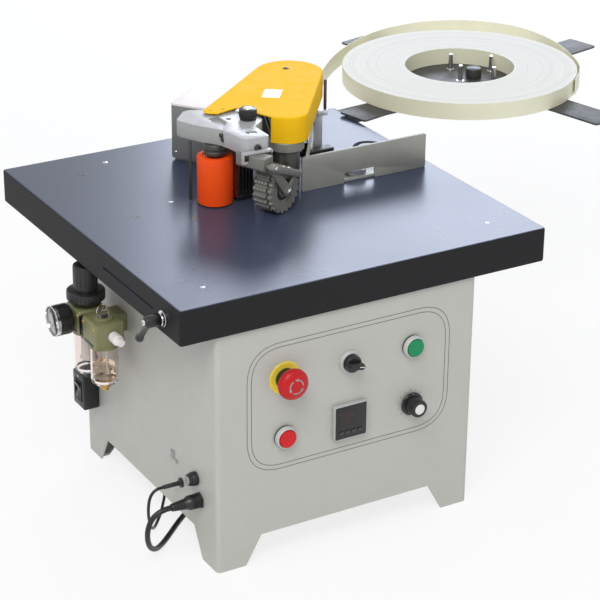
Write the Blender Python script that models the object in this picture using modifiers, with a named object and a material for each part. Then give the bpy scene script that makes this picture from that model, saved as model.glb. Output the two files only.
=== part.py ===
"""Bench edge banding machine: cabinet, table, gluing head, tape tray, controls and air unit.

Metres, +Z up, +X to the operator's right, +Y away from the operator.
Sub-parts are placed from the table's front left corner at floor level; the root empty
then carries them so that the footprint is centred on the world origin.
"""
import math

import bmesh
import bpy
from mathutils import Vector

# ---------------------------------------------------------------- shared clearances
GAP = 0.0003                 # gap kept between touching pieces
SLIP = 0.0005                # radial play of a turning or sliding fit
REACH = 0.004                # how far a cutter passes beyond what it cuts
ROUND_COIL = 64              # sides of round pieces, by size
ROUND_LARGE = 24
ROUND = 20
ROUND_SMALL = 16
ROUND_TINY = 12

# ---------------------------------------------------------------- table
TABLE_WIDTH = 0.520
TABLE_DEPTH = 0.524
TABLE_HEIGHT = 0.370         # top face above the floor
TABLE_THICKNESS = 0.0456
TABLE_CORNER = 0.004
TABLE_RIM = 0.0020
TABLE_BASE = TABLE_HEIGHT - TABLE_THICKNESS
GROOVE_START = 0.070         # slot along the left edge, from the front
GROOVE_END = 0.208
GROOVE_HEIGHT = 0.003
GROOVE_DEPTH = 0.004
GROOVE_DROP = 0.0235         # below the top face

# ---------------------------------------------------------------- cabinet
CABINET_LEFT = 0.0486
CABINET_FRONT = 0.005
CABINET_WIDTH = 0.3705
CABINET_DEPTH = 0.377
SHEET = 0.002
BEND_RADIUS = 0.006
FOOT_WIDTH = 0.040
FOOT_HEIGHT = 0.039
FOOT_SLOPE = 0.022
FOOT_PLATE = 0.034
FOOT_PLATE_THICKNESS = 0.003
SHELF_HEIGHT = 0.052
SHELF_THICKNESS = 0.002
REAR_PANEL_WIDTH = 0.300
REAR_PANEL_HEIGHT = 0.210
REAR_PANEL_BASE = 0.075
REAR_OPENING_MARGIN = 0.015
LOUVRE_COUNT = 6
LOUVRE_LENGTH = 0.090
LOUVRE_SLOT = 0.004
LOUVRE_PITCH = 0.012
CABINET_RIGHT = CABINET_LEFT + CABINET_WIDTH
CABINET_BACK = CABINET_FRONT + CABINET_DEPTH
CABINET_MID_X = CABINET_LEFT + CABINET_WIDTH / 2
CABINET_MID_Y = CABINET_FRONT + CABINET_DEPTH / 2
CABINET_TOP = TABLE_BASE - GAP

# ---------------------------------------------------------------- control panel
COLUMN_PITCH = 0.0915
ROW_LOW = 0.169
ROW_HIGH = 0.249
CUTOUT_RADIUS = 0.0110       # body of a 22 mm control
COLUMN_LEFT = CABINET_MID_X - COLUMN_PITCH
COLUMN_RIGHT = CABINET_MID_X + COLUMN_PITCH
STOP_DISC_RADIUS = 0.0215
STOP_HEAD_RADIUS = 0.0200
STOP_TRAVEL = 0.004
BEZEL_RADIUS = 0.01475
BEZEL_HEIGHT = 0.009
LENS_RADIUS = 0.0105
BUTTON_TRAVEL = 0.003
CONTROLLER_FACE = 0.048
CONTROLLER_BODY = 0.0445
CONTROLLER_DEPTH = 0.060
CONTROLLER_LIP = 0.007
DIAL_SHAFT_RADIUS = 0.003
DIAL_SKIRT_RADIUS = 0.0155
DIAL_HEIGHT = 0.024

# ---------------------------------------------------------------- side fittings
FUSE_Y = 0.060
FUSE_Z = 0.109
INLET_Y = 0.050
INLET_Z = 0.083
INLET_REACH = 0.0400            # end of the sleeve, out from the wall
GLAND_Y = 0.100
GLAND_Z = 0.083
GLAND_REACH = 0.0260
FUSE_RADIUS = 0.0075
INLET_RADIUS = 0.0095
GLAND_RADIUS = 0.0060
SWITCH_Y = 0.357
SWITCH_Z = 0.105
SWITCH_WIDTH = 0.034
SWITCH_HEIGHT = 0.050
SWITCH_DEPTH = 0.023

# ---------------------------------------------------------------- clamp lever
LEVER_Y = 0.041
LEVER_Z = TABLE_HEIGHT - 0.024
LEVER_LENGTH = 0.046
LEVER_ANGLE = math.radians(48)

# ---------------------------------------------------------------- air unit
AIR_X = 0.010
REGULATOR_Y = 0.286
AIR_PITCH = 0.050
LUBRICATOR_Y = REGULATOR_Y - AIR_PITCH
AIR_BODY_BASE = 0.226
AIR_BODY_TOP = 0.264
AIR_BODY_WIDTH = 0.042
BOWL_RADIUS = 0.0180
BOWL_WALL = 0.0020
REGULATOR_BOWL_BASE = 0.166
LUBRICATOR_BOWL_BASE = 0.170
KNOB_COLUMN_RADIUS = 0.0160
KNOB_RING_RADIUS = 0.0250
KNOB_RING_TOP = 0.285
KNOB_TOP = 0.3200
GAUGE_RADIUS = 0.0205
GAUGE_DEPTH = 0.024
GAUGE_Z = 0.250

# ---------------------------------------------------------------- fence
FENCE_LEFT = 0.3115
FENCE_RIGHT = 0.504
FENCE_FACE = 0.255
FENCE_THICKNESS = 0.004
FENCE_HEIGHT = 0.048
NOTCH_LEFT = 0.376
NOTCH_RIGHT = 0.424
NOTCH_HEIGHT = 0.015
FENCE_FOOT_DEPTH = 0.032
FENCE_FOOT_THICKNESS = 0.004
FENCE_FOOT_LEFT = 0.356
FENCE_FOOT_RIGHT = 0.480
CLAMP_X = 0.404
CLAMP_Y = 0.274
CLAMP_RADIUS = 0.015
CLAMP_STUD_RADIUS = 0.004
FENCE_TRAVEL = 0.003

# ---------------------------------------------------------------- pressing arm and roller
ARM_TOP = TABLE_HEIGHT + 0.104
ARM_THICKNESS = 0.0215
ARM_BASE = ARM_TOP - ARM_THICKNESS
PIVOT_X = 0.222
PIVOT_Y = 0.322
PIVOT_RADIUS = 0.0060
POST_RADIUS = 0.0100
ROLLER_X = 0.1955
ROLLER_Y = 0.2808
ROLLER_RADIUS = 0.0235
ROLLER_BASE = TABLE_HEIGHT + 0.0015
ROLLER_HEIGHT = 0.064
ROLLER_BORE = 0.0100
HUB_RADIUS = 0.0150
GUARD_X = 0.1695
GUARD_Y = 0.300
TENSION_X = 0.246
TENSION_Y = 0.284
TENSION_RADIUS = 0.0117
TENSION_HEIGHT = 0.0165

# ---------------------------------------------------------------- toothed feed wheel
WHEEL_X = 0.2555             # centre of the wheel's outer face
WHEEL_Y = 0.2035
WHEEL_Z = TABLE_HEIGHT + 0.0315
WHEEL_TURN = math.radians(23.5)
WHEEL_RADIUS = 0.0305
WHEEL_ROOT = 0.0275
WHEEL_WIDTH = 0.029
WHEEL_TEETH = 20
WHEEL_BORE = 0.0045
WHEEL_PIVOT_ALONG = -0.0340  # fork pivot in the wheel's own plane
WHEEL_PIVOT_UP = 0.0415
FORK_PLATE = 0.004
HANGER_DEPTH = 0.0460
FORK_OFFSET = 0.003
FORK_PIN_RADIUS = 0.004

# ---------------------------------------------------------------- tape cutter
CUTTER_LEFT = 0.2227
CUTTER_WIDTH = 0.023
CUTTER_FRONT = 0.268
CUTTER_DEPTH = 0.030
CUTTER_HEIGHT = 0.054
BLADE_THICKNESS = 0.0012
BLADE_HEIGHT = 0.060
BLADE_TRAVEL = 0.010

# ---------------------------------------------------------------- gluing head
GLUE_X = 0.298
GLUE_Y = 0.2745
GLUE_RADIUS = 0.0175
GLUE_SHAFT = 0.0060
COLLAR_RADIUS = 0.0235
NECK_RADIUS = 0.0195
COLLAR_BASE = TABLE_HEIGHT + 0.058
COVER_BASE = TABLE_HEIGHT + 0.072
COVER_TOP = TABLE_HEIGHT + 0.108
COVER_WALL = 0.0015
COVER_FRONT_X = 0.302
COVER_FRONT_Y = 0.276
COVER_FRONT_RADIUS = 0.0260
COVER_BACK_X = 0.385
COVER_BACK_Y = 0.420
COVER_BACK_RADIUS = 0.0465
MOTOR_X = 0.372
MOTOR_Y = 0.432
LOBE_X = 0.2155
LOBE_Y = 0.328
LOBE_RADIUS = 0.0105
COVER_NOTCH = ((0.2100, 0.3100), (0.2244, 0.3150), (0.2519, 0.3213), (0.2628, 0.2885),
               (0.2733, 0.2660), (0.2760, 0.2300), (0.2100, 0.2300))
LOBE_FLAT_END = 0.250
HEAD_PLATE_INSET = 0.0030
HEAD_PLATE_THICKNESS = 0.004
MOTOR_RADIUS = 0.0340
MOTOR_SPROCKET = 0.0200
GLUE_SPROCKET = 0.0145
SPROCKET_BASE = TABLE_HEIGHT + 0.082
SPROCKET_WIDTH = 0.0050
CHAIN_THICKNESS = 0.0035
CHAIN_HEIGHT = 0.0060
PIPE_RADIUS = 0.0050
PIPE_LENGTH = 0.1045
PIPE_X = 0.301
PIPE_Z = TABLE_HEIGHT + 0.016
PIPE_TURN = math.radians(9.2)
TANK_X = 0.2638
TANK_Y = 0.4421
TANK_TURN = math.radians(36.87)
TANK_LENGTH = 0.075
TANK_WIDTH = 0.066
TANK_WALL = 0.003
TANK_BASE = TABLE_HEIGHT + 0.004
TANK_TOP = TABLE_HEIGHT + 0.078
LID_THICKNESS = 0.004

# ---------------------------------------------------------------- tape tray, coil and guide
TRAY_X = 0.7684
TRAY_Y = 0.525
TRAY_TOP = TABLE_HEIGHT + 0.006
TRAY_PLATE = 0.003
TRAY_REACH = 0.260
TRAY_ARM_WIDTH = 0.052
TRAY_TURN = math.radians(13.5)
SPINDLE_RADIUS = 0.0080
CORE_PINS = (0.039, 0.0475, 0.030, 0.040)     # distance from the spindle, one on each arm
CORE_PIN_RADIUS = 0.0035
CORE_PIN_HEIGHT = 0.026
SUPPORT_TOP = TABLE_HEIGHT - 0.004
SUPPORT_THICKNESS = 0.008
COIL_X = 0.7386
COIL_Y = 0.5204
COIL_OUTER = 0.176
COIL_INNER = 0.082
TAPE_WIDTH = 0.025
TAPE_THICKNESS = 0.0010
COIL_BASE = TRAY_TOP + GAP
STRAND_BASE = TRAY_TOP + 0.001
GUIDE_X = 0.4075
GUIDE_Y = 0.3880
GUIDE_WIDTH = 0.013
GUIDE_HEIGHT = 0.053

# ---------------------------------------------------------------- cords
MAINS_DIAMETER = 0.007
MAINS_COIL_RADIUS = 0.0360   # middle of the turns
MAINS_COIL_HALF = 0.0130
MAINS_COIL_HEIGHT = 0.0145
SIGNAL_DIAMETER = 0.004
SIGNAL_COIL_RADIUS = 0.0225
SIGNAL_COIL_HALF = 0.0095
SIGNAL_COIL_HEIGHT = 0.0085
MAINS_COIL_AT = (0.268, 0.470)
SIGNAL_COIL_AT = (0.168, 0.460)
MAINS_PLUG_AT = (0.3220, 0.5150, 0.0138)
SIGNAL_CONNECTOR_AT = (0.2010, 0.4895, 0.0081)
MAINS_ROUTE = (
    (CABINET_LEFT - INLET_REACH - GAP, INLET_Y, INLET_Z), (0.0000, 0.0500, 0.0827),
    (-0.0090, 0.0504, 0.0800), (-0.0170, 0.0515, 0.0730), (-0.0210, 0.0535, 0.0620),
    (-0.0215, 0.0565, 0.0490), (-0.0180, 0.0615, 0.0345), (-0.0105, 0.0695, 0.0210),
    (0.0010, 0.0800, 0.0110), (0.0150, 0.0930, 0.0060), (0.0320, 0.1090, 0.0041),
    (0.0600, 0.1350, 0.0038), (0.1000, 0.1700, 0.0038), (0.1450, 0.2150, 0.0038),
    (0.1850, 0.2650, 0.0038), (0.2110, 0.3200, 0.0038), (0.2180, 0.3500, 0.0038),
    (0.2220, 0.3800, 0.0038), (0.2236, 0.4100, 0.0038), (0.2232, 0.4400, 0.0038),
)
SIGNAL_ROUTE = (
    (CABINET_LEFT - GLAND_REACH - GAP, GLAND_Y, GLAND_Z), (0.0160, 0.1000, 0.0828),
    (0.0095, 0.1002, 0.0800), (0.0050, 0.1010, 0.0730), (0.0035, 0.1030, 0.0620),
    (0.0045, 0.1065, 0.0480), (0.0080, 0.1120, 0.0330), (0.0140, 0.1200, 0.0185),
    (0.0225, 0.1310, 0.0080), (0.0340, 0.1460, 0.0030), (0.0520, 0.1690, 0.0023),
    (0.0760, 0.2060, 0.0023), (0.0980, 0.2500, 0.0023), (0.1150, 0.3000, 0.0023),
    (0.1275, 0.3500, 0.0023), (0.1345, 0.3950, 0.0023), (0.1378, 0.4350, 0.0023),
)

PARTS = bpy.data.collections.new("edge_banding_machine")
CUTTERS = bpy.data.collections.new("cutters")


# ================================================================ helpers
def clear_scene():
    """Remove every object and link the two collections."""
    for obj in list(bpy.data.objects):
        bpy.data.objects.remove(obj)
    bpy.context.scene.collection.children.link(PARTS)
    bpy.context.scene.collection.children.link(CUTTERS)


def material(name, colour, roughness, metallic=0.0):
    """A Principled material, made once for each name."""
    found = bpy.data.materials.get(name)
    if found:
        return found
    made = bpy.data.materials.new(name)
    made.use_nodes = True
    shader = made.node_tree.nodes["Principled BSDF"]
    shader.inputs["Base Color"].default_value = (*colour, 1.0)
    shader.inputs["Roughness"].default_value = roughness
    shader.inputs["Metallic"].default_value = metallic
    return made


def powder_coat():
    return material("light_powder_coat", (0.52, 0.52, 0.48), 0.45)


def laminate():
    return material("slate_laminate", (0.055, 0.058, 0.075), 0.25)


def steel():
    return material("bright_steel", (0.62, 0.62, 0.63), 0.25, 1.0)


def plate_steel():
    return material("dull_steel", (0.30, 0.31, 0.29), 0.40, 1.0)


def cast():
    return material("cast_aluminium", (0.42, 0.43, 0.43), 0.50, 0.6)


def black_plastic():
    return material("black_plastic", (0.012, 0.012, 0.013), 0.40)


def yellow_paint():
    return material("yellow_paint", (0.90, 0.55, 0.04), 0.35)


def tape_white():
    return material("tape_cream", (0.75, 0.73, 0.66), 0.50)


def charcoal_paint():
    return material("charcoal_paint", (0.045, 0.045, 0.045), 0.55)


def smooth(mesh, angle=math.radians(35)):
    """Smooth shading with sharp edges kept."""
    mesh.shade_smooth()
    mesh.set_sharp_from_angle(angle=angle)


def finish(obj, finish_material, parent, is_cutter=False):
    """Link an object to its collection, material and parent."""
    if is_cutter:
        CUTTERS.objects.link(obj)
        obj.hide_render = True
        obj.display_type = "WIRE"
    else:
        PARTS.objects.link(obj)
        obj.data.materials.append(finish_material)
    obj.parent = parent
    return obj


def mesh_object(name, bm, place=(0, 0, 0), turn=(0, 0, 0)):
    """Turn a bmesh into an unlinked object."""
    bmesh.ops.recalc_face_normals(bm, faces=bm.faces)
    mesh = bpy.data.meshes.new(name)
    bm.to_mesh(mesh)
    bm.free()
    smooth(mesh)
    obj = bpy.data.objects.new(name, mesh)
    obj.location = place
    obj.rotation_euler = turn
    return obj


def box(name, low, high, bevel=0.0, segments=2):
    """A box between two corners, its origin at the middle."""
    size = [b - a for a, b in zip(low, high)]
    middle = [(a + b) / 2 for a, b in zip(low, high)]
    bm = bmesh.new()
    bmesh.ops.create_cube(bm, size=1.0)
    bmesh.ops.scale(bm, vec=size, verts=bm.verts)
    if bevel:
        bmesh.ops.bevel(bm, geom=bm.edges[:], offset=bevel, segments=segments, profile=0.5,
                        affect="EDGES", offset_type="OFFSET", material=-1)
    return mesh_object(name, bm, middle)


def rounded_box(name, low, high, radius, segments=3, axis=2):
    """A box whose edges along one axis are rounded."""
    size = [b - a for a, b in zip(low, high)]
    middle = [(a + b) / 2 for a, b in zip(low, high)]
    bm = bmesh.new()
    bmesh.ops.create_cube(bm, size=1.0)
    bmesh.ops.scale(bm, vec=size, verts=bm.verts)
    bm.edges.ensure_lookup_table()
    along = [e for e in bm.edges
             if abs(abs((e.verts[0].co - e.verts[1].co)[axis]) - size[axis]) < 1e-6]
    bmesh.ops.bevel(bm, geom=along, offset=radius, segments=segments, profile=0.5,
                    affect="EDGES", offset_type="OFFSET", material=-1)
    return mesh_object(name, bm, middle)


def cylinder(name, radius, low, high, place=(0, 0, 0), turn=(0, 0, 0), sides=ROUND_SMALL):
    """A cylinder along its local Z between two heights."""
    bm = bmesh.new()
    bmesh.ops.create_cone(bm, cap_ends=True, segments=sides, radius1=radius, radius2=radius,
                          depth=high - low)
    bmesh.ops.translate(bm, vec=(0, 0, (low + high) / 2), verts=bm.verts)
    return mesh_object(name, bm, place, turn)


def turned(name, profile, place=(0, 0, 0), turn=(0, 0, 0), sides=20, closed=False):
    """A turned piece: (radius, height) pairs running down its outer side."""
    bm = bmesh.new()
    verts = [bm.verts.new((r, 0, z)) for r, z in profile]
    for first, second in zip(verts, verts[1:]):
        bm.edges.new((first, second))
    if closed:
        bm.edges.new((verts[-1], verts[0]))
    mesh = bpy.data.meshes.new(name)
    bm.to_mesh(mesh)
    bm.free()
    obj = bpy.data.objects.new(name, mesh)
    obj.location = place
    obj.rotation_euler = turn
    screw = obj.modifiers.new("turn", "SCREW")
    screw.steps = sides
    screw.render_steps = sides
    screw.use_merge_vertices = True
    screw.merge_threshold = 0.00005
    screw.use_smooth_shade = False
    return obj


def ring(name, outer, inner, low, high, place=(0, 0, 0), turn=(0, 0, 0), sides=ROUND):
    """A plain ring or tube."""
    profile = ((outer, high), (outer, low), (inner, low), (inner, high))
    return turned(name, profile, place, turn, sides, closed=True)


def flat(name, outline, low, high, place=(0, 0, 0), turn=(0, 0, 0)):
    """A flat outline with a thickness, made from a 2D curve and kept as a mesh."""
    curve = bpy.data.curves.new(name, "CURVE")
    curve.dimensions = "2D"
    curve.fill_mode = "BOTH"
    curve.extrude = (high - low) / 2
    spline = curve.splines.new("POLY")
    spline.points.add(len(outline) - 1)
    for point, (x, y) in zip(spline.points, outline):
        point.co = (x, y, 0, 1)
    spline.use_cyclic_u = True
    maker = bpy.data.objects.new(name, curve)
    CUTTERS.objects.link(maker)
    bpy.context.view_layer.update()
    mesh = bpy.data.meshes.new_from_object(maker.evaluated_get(bpy.context.evaluated_depsgraph_get()))
    bpy.data.objects.remove(maker)
    bm = bmesh.new()
    bm.from_mesh(mesh)
    bmesh.ops.remove_doubles(bm, verts=bm.verts, dist=0.00001)
    bmesh.ops.translate(bm, vec=(0, 0, (high + low) / 2), verts=bm.verts)
    return mesh_object(name, bm, place, turn)


def tube(name, points, radius, resolution=2):
    """A round tube along a polyline, with filled caps."""
    curve = bpy.data.curves.new(name, "CURVE")
    curve.dimensions = "3D"
    curve.bevel_depth = radius
    curve.bevel_resolution = resolution
    curve.use_fill_caps = True
    spline = curve.splines.new("POLY")
    spline.points.add(len(points) - 1)
    for point, at in zip(spline.points, points):
        point.co = (*at, 1)
    return bpy.data.objects.new(name, curve)


def boolean(obj, tool, operation):
    """Cut or join with another object, which stays as a guide."""
    finish(tool, None, obj.parent, is_cutter=True)
    modifier = obj.modifiers.new(operation.lower(), "BOOLEAN")
    modifier.operation = operation
    modifier.solver = "EXACT"
    modifier.object = tool
    return obj


def cut(obj, *tools):
    for tool in tools:
        boolean(obj, tool, "DIFFERENCE")
    return obj


def join(obj, *tools):
    for tool in tools:
        boolean(obj, tool, "UNION")
    return obj


def arc(centre, radius, start, end, steps):
    """Points along an arc, angles in degrees."""
    points = []
    for step in range(steps + 1):
        angle = math.radians(start + (end - start) * step / steps)
        points.append((centre[0] + radius * math.cos(angle), centre[1] + radius * math.sin(angle)))
    return points


def wrap_outline(circles, inset=0.0, steps=10):
    """The outline of a belt pulled round circles given counter-clockwise as (x, y, radius)."""
    tangents = []
    for (x1, y1, r1), (x2, y2, r2) in zip(circles, circles[1:] + circles[:1]):
        length = math.hypot(x2 - x1, y2 - y1)
        tangents.append(math.atan2(y2 - y1, x2 - x1) - math.acos((r1 - r2) / length))
    outline = []
    for index, (x, y, r) in enumerate(circles):
        start = math.degrees(tangents[index - 1])
        end = math.degrees(tangents[index])
        while end < start:
            end += 360
        outline += arc((x, y), r - inset, start, end, steps)
    return outline


def smooth_route(points, spacing):
    """Evenly stepped points along a smooth curve through a route."""
    padded = [points[0]] + list(points) + [points[-1]]
    route = []
    for a, b, c, d in zip(padded, padded[1:], padded[2:], padded[3:]):
        a, b, c, d = (Vector(p) for p in (a, b, c, d))
        steps = max(1, round((c - b).length / spacing))
        for step in range(steps):
            t = step / steps
            route.append(0.5 * (2 * b + (c - a) * t + (2 * a - 5 * b + 4 * c - d) * t * t
                                + (3 * b - a - 3 * c + d) * t ** 3))
    route.append(Vector(points[-1]))
    return route


TO_FRONT = (math.radians(90), 0, 0)      # local Z points at the operator
TO_LEFT = (0, math.radians(-90), 0)      # local Z points left
TO_BACK = (math.radians(-90), 0, 0)      # local Z points away from the operator
TO_RIGHT = (0, math.radians(90), 0)      # local Z points right


# ================================================================ cabinet and table
def arch_cutter(name, width, along_x):
    """A trapezoid gap under one pair of walls, right through the cabinet."""
    half_low = width / 2 - FOOT_WIDTH
    half_high = half_low - FOOT_SLOPE
    outline = [(-half_low, -REACH), (half_low, -REACH), (half_low, 0),
               (half_high, FOOT_HEIGHT), (-half_high, FOOT_HEIGHT), (-half_low, 0)]
    length = (CABINET_DEPTH if along_x else CABINET_WIDTH) + 2 * REACH
    turn = TO_FRONT if along_x else (math.radians(90), 0, math.radians(90))
    return flat(name, outline, -length / 2, length / 2, (CABINET_MID_X, CABINET_MID_Y, 0), turn)


def panel_hole(name, x, z, radius):
    return cylinder(name, radius, -SHEET * 3, SHEET * 3, (x, CABINET_FRONT, z), TO_FRONT, ROUND)


def side_hole(name, y, z, radius):
    return cylinder(name, radius, -SHEET * 3, SHEET * 3, (CABINET_LEFT, y, z), TO_LEFT, ROUND_SMALL)


def build_cabinet(root):
    """Sheet-metal body: four walls, corner feet, cut-outs for the controls and the back panel."""
    bm = bmesh.new()
    bmesh.ops.create_cube(bm, size=1.0)
    bmesh.ops.scale(bm, vec=(CABINET_WIDTH, CABINET_DEPTH, CABINET_TOP), verts=bm.verts)
    upright = [e for e in bm.edges if abs((e.verts[0].co - e.verts[1].co).z) > CABINET_TOP / 2]
    bmesh.ops.bevel(bm, geom=upright, offset=BEND_RADIUS, segments=4, profile=0.5,
                    affect="EDGES", offset_type="OFFSET", material=-1)
    ends = [f for f in bm.faces if abs(f.normal.z) > 0.5]
    bmesh.ops.delete(bm, geom=ends, context="FACES")
    shell = mesh_object("cabinet_shell", bm, (CABINET_MID_X, CABINET_MID_Y, CABINET_TOP / 2))
    finish(shell, powder_coat(), root)
    wall = shell.modifiers.new("wall", "SOLIDIFY")
    wall.thickness = SHEET
    wall.offset = -1
    radius = CUTOUT_RADIUS + GAP
    half = CONTROLLER_BODY / 2 + GAP
    cut(shell,
        arch_cutter("arch_front_back", CABINET_WIDTH, True),
        arch_cutter("arch_left_right", CABINET_DEPTH, False),
        panel_hole("hole_stop", COLUMN_LEFT, ROW_HIGH, radius),
        panel_hole("hole_red", COLUMN_LEFT, ROW_LOW, radius),
        panel_hole("hole_selector", CABINET_MID_X, ROW_HIGH, radius),
        panel_hole("hole_green", COLUMN_RIGHT, ROW_HIGH, radius),
        panel_hole("hole_dial", COLUMN_RIGHT, ROW_LOW, DIAL_SHAFT_RADIUS + SLIP),
        box("hole_controller", (CABINET_MID_X - half, CABINET_FRONT - REACH, ROW_LOW - half),
            (CABINET_MID_X + half, CABINET_FRONT + REACH, ROW_LOW + half)),
        side_hole("hole_fuse", FUSE_Y, FUSE_Z, FUSE_RADIUS * 0.7 + GAP),
        side_hole("hole_inlet", INLET_Y, INLET_Z, INLET_RADIUS * 0.7 + GAP),
        side_hole("hole_gland", GLAND_Y, GLAND_Z, GLAND_RADIUS * 0.7 + GAP),
        box("hole_back",
            (CABINET_MID_X - REAR_PANEL_WIDTH / 2 + REAR_OPENING_MARGIN, CABINET_BACK - 3 * SHEET,
             REAR_PANEL_BASE + REAR_OPENING_MARGIN),
            (CABINET_MID_X + REAR_PANEL_WIDTH / 2 - REAR_OPENING_MARGIN, CABINET_BACK + 3 * SHEET,
             REAR_PANEL_BASE + REAR_PANEL_HEIGHT - REAR_OPENING_MARGIN)))
    join(shell, *foot_plates())


def build_rear_panel(root):
    """Service panel screwed on the back, with two groups of louvres."""
    low = (CABINET_MID_X - REAR_PANEL_WIDTH / 2, CABINET_BACK + GAP, REAR_PANEL_BASE)
    high = (CABINET_MID_X + REAR_PANEL_WIDTH / 2, CABINET_BACK + GAP + SHEET,
            REAR_PANEL_BASE + REAR_PANEL_HEIGHT)
    panel = rounded_box("rear_panel", low, high, 0.006, 3, axis=1)
    finish(panel, powder_coat(), root)
    for side in (-1, 1):
        for row in range(LOUVRE_COUNT):
            middle = CABINET_MID_X + side * REAR_PANEL_WIDTH / 4
            height = REAR_PANEL_BASE + REAR_PANEL_HEIGHT / 2 + (row - (LOUVRE_COUNT - 1) / 2) * LOUVRE_PITCH
            cut(panel, box(f"louvre_{side}_{row}",
                           (middle - LOUVRE_LENGTH / 2, low[1] - REACH, height - LOUVRE_SLOT / 2),
                           (middle + LOUVRE_LENGTH / 2, high[1] + REACH, height + LOUVRE_SLOT / 2)))


def build_shelf(root):
    """Floor of the cabinet, above the feet."""
    inset = SHEET + GAP + BEND_RADIUS * 0.3
    shelf = box("cabinet_floor",
                (CABINET_LEFT + inset, CABINET_FRONT + inset, SHELF_HEIGHT),
                (CABINET_RIGHT - inset, CABINET_BACK - inset, SHELF_HEIGHT + SHELF_THICKNESS))
    finish(shelf, powder_coat(), root)


def foot_plates():
    """A flat plate welded across the inside of each corner foot."""
    inset = SHEET / 2
    plates = []
    reach = inset + FOOT_PLATE
    for name, x, dx, y, dy in (
            ("foot_plate_front_left", CABINET_LEFT, 1, CABINET_FRONT, 1),
            ("foot_plate_front_right", CABINET_RIGHT, -1, CABINET_FRONT, 1),
            ("foot_plate_back_left", CABINET_LEFT, 1, CABINET_BACK, -1),
            ("foot_plate_back_right", CABINET_RIGHT, -1, CABINET_BACK, -1)):
        corner = BEND_RADIUS * 0.5
        outline = [(x + dx * (inset + corner), y + dy * inset), (x + dx * reach, y + dy * inset),
                   (x + dx * reach, y + dy * (inset + FOOT_PLATE * 0.4)),
                   (x + dx * (inset + FOOT_PLATE * 0.4), y + dy * reach),
                   (x + dx * inset, y + dy * reach), (x + dx * inset, y + dy * (inset + corner))]
        plates.append(flat(name, outline, 0, FOOT_PLATE_THICKNESS))
    return plates


def build_table(root):
    """Thick laminated table with a slot along its left edge."""
    table = rounded_box("table_top", (0, 0, TABLE_BASE), (TABLE_WIDTH, TABLE_DEPTH, TABLE_HEIGHT),
                        TABLE_CORNER, 3)
    finish(table, laminate(), root)
    rim = table.modifiers.new("rim", "BEVEL")
    rim.width = TABLE_RIM
    rim.segments = 2
    rim.limit_method = "ANGLE"
    rim.angle_limit = math.radians(60)
    middle = TABLE_HEIGHT - GROOVE_DROP
    cut(table,
        box("groove", (-REACH, GROOVE_START, middle - GROOVE_HEIGHT / 2),
            (GROOVE_DEPTH, GROOVE_END, middle + GROOVE_HEIGHT / 2)),
        cylinder("lever_bore", CLAMP_STUD_RADIUS + GAP, -0.020, REACH, (0, LEVER_Y, LEVER_Z), TO_LEFT),
        cylinder("clamp_bore", CLAMP_STUD_RADIUS + GAP, TABLE_HEIGHT - 0.020, TABLE_HEIGHT + REACH,
                 (CLAMP_X, CLAMP_Y, 0)))


# ================================================================ control panel
def front(x, z, out=0.0):
    return (x, CABINET_FRONT - out, z)


def build_emergency_stop(root):
    """Yellow-disc base with a red mushroom head that pushes in."""
    base = turned("emergency_stop_base", (
        (STOP_DISC_RADIUS, GAP + 0.0015), (STOP_DISC_RADIUS, GAP), (CUTOUT_RADIUS, GAP),
        (CUTOUT_RADIUS, -0.040), (0.0080, -0.040), (0.0080, 0.0100), (0.0120, 0.0100),
        (0.0145, 0.0080), (0.0145, GAP + 0.0015)), front(COLUMN_LEFT, ROW_HIGH), TO_FRONT, ROUND_LARGE, True)
    finish(base, material("safety_yellow", (0.85, 0.62, 0.03), 0.45), root)
    head = turned("emergency_stop_button", (
        (0.0, 0.0300), (0.0130, 0.0292), (0.0180, 0.0265), (STOP_HEAD_RADIUS, 0.0225),
        (STOP_HEAD_RADIUS, 0.0160), (0.0160, 0.0148), (0.0080 - SLIP, 0.0148), (0.0080 - SLIP, -0.0250),
        (0.0, -0.0250)), front(COLUMN_LEFT, ROW_HIGH), TO_FRONT, ROUND_LARGE)
    finish(head, material("stop_red", (0.55, 0.02, 0.02), 0.35), root)


def build_push_button(root, name, x, z, colour):
    """A ring bezel with a lens that pushes in."""
    bezel = turned(f"{name}_bezel", (
        (BEZEL_RADIUS - 0.001, BEZEL_HEIGHT), (BEZEL_RADIUS, BEZEL_HEIGHT - 0.001), (BEZEL_RADIUS, GAP),
        (CUTOUT_RADIUS, GAP), (CUTOUT_RADIUS, -0.035), (0.0080, -0.035), (0.0080, 0.0010),
        (LENS_RADIUS + SLIP, 0.0010), (LENS_RADIUS + SLIP, BEZEL_HEIGHT)), front(x, z), TO_FRONT, ROUND, True)
    finish(bezel, material("bezel_grey", (0.60, 0.60, 0.58), 0.30), root)
    lens = turned(name, (
        (0.0, BEZEL_HEIGHT + 0.0022), (LENS_RADIUS - 0.002, BEZEL_HEIGHT + 0.0020),
        (LENS_RADIUS, BEZEL_HEIGHT + 0.0008), (LENS_RADIUS, 0.0010 + BUTTON_TRAVEL + 0.0005),
        (0.0080 - SLIP, 0.0010 + BUTTON_TRAVEL + 0.0005), (0.0080 - SLIP, -0.0250), (0.0, -0.0250)),
        front(x, z), TO_FRONT, ROUND)
    finish(lens, material(f"{name}_lens", colour, 0.25), root)


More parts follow.
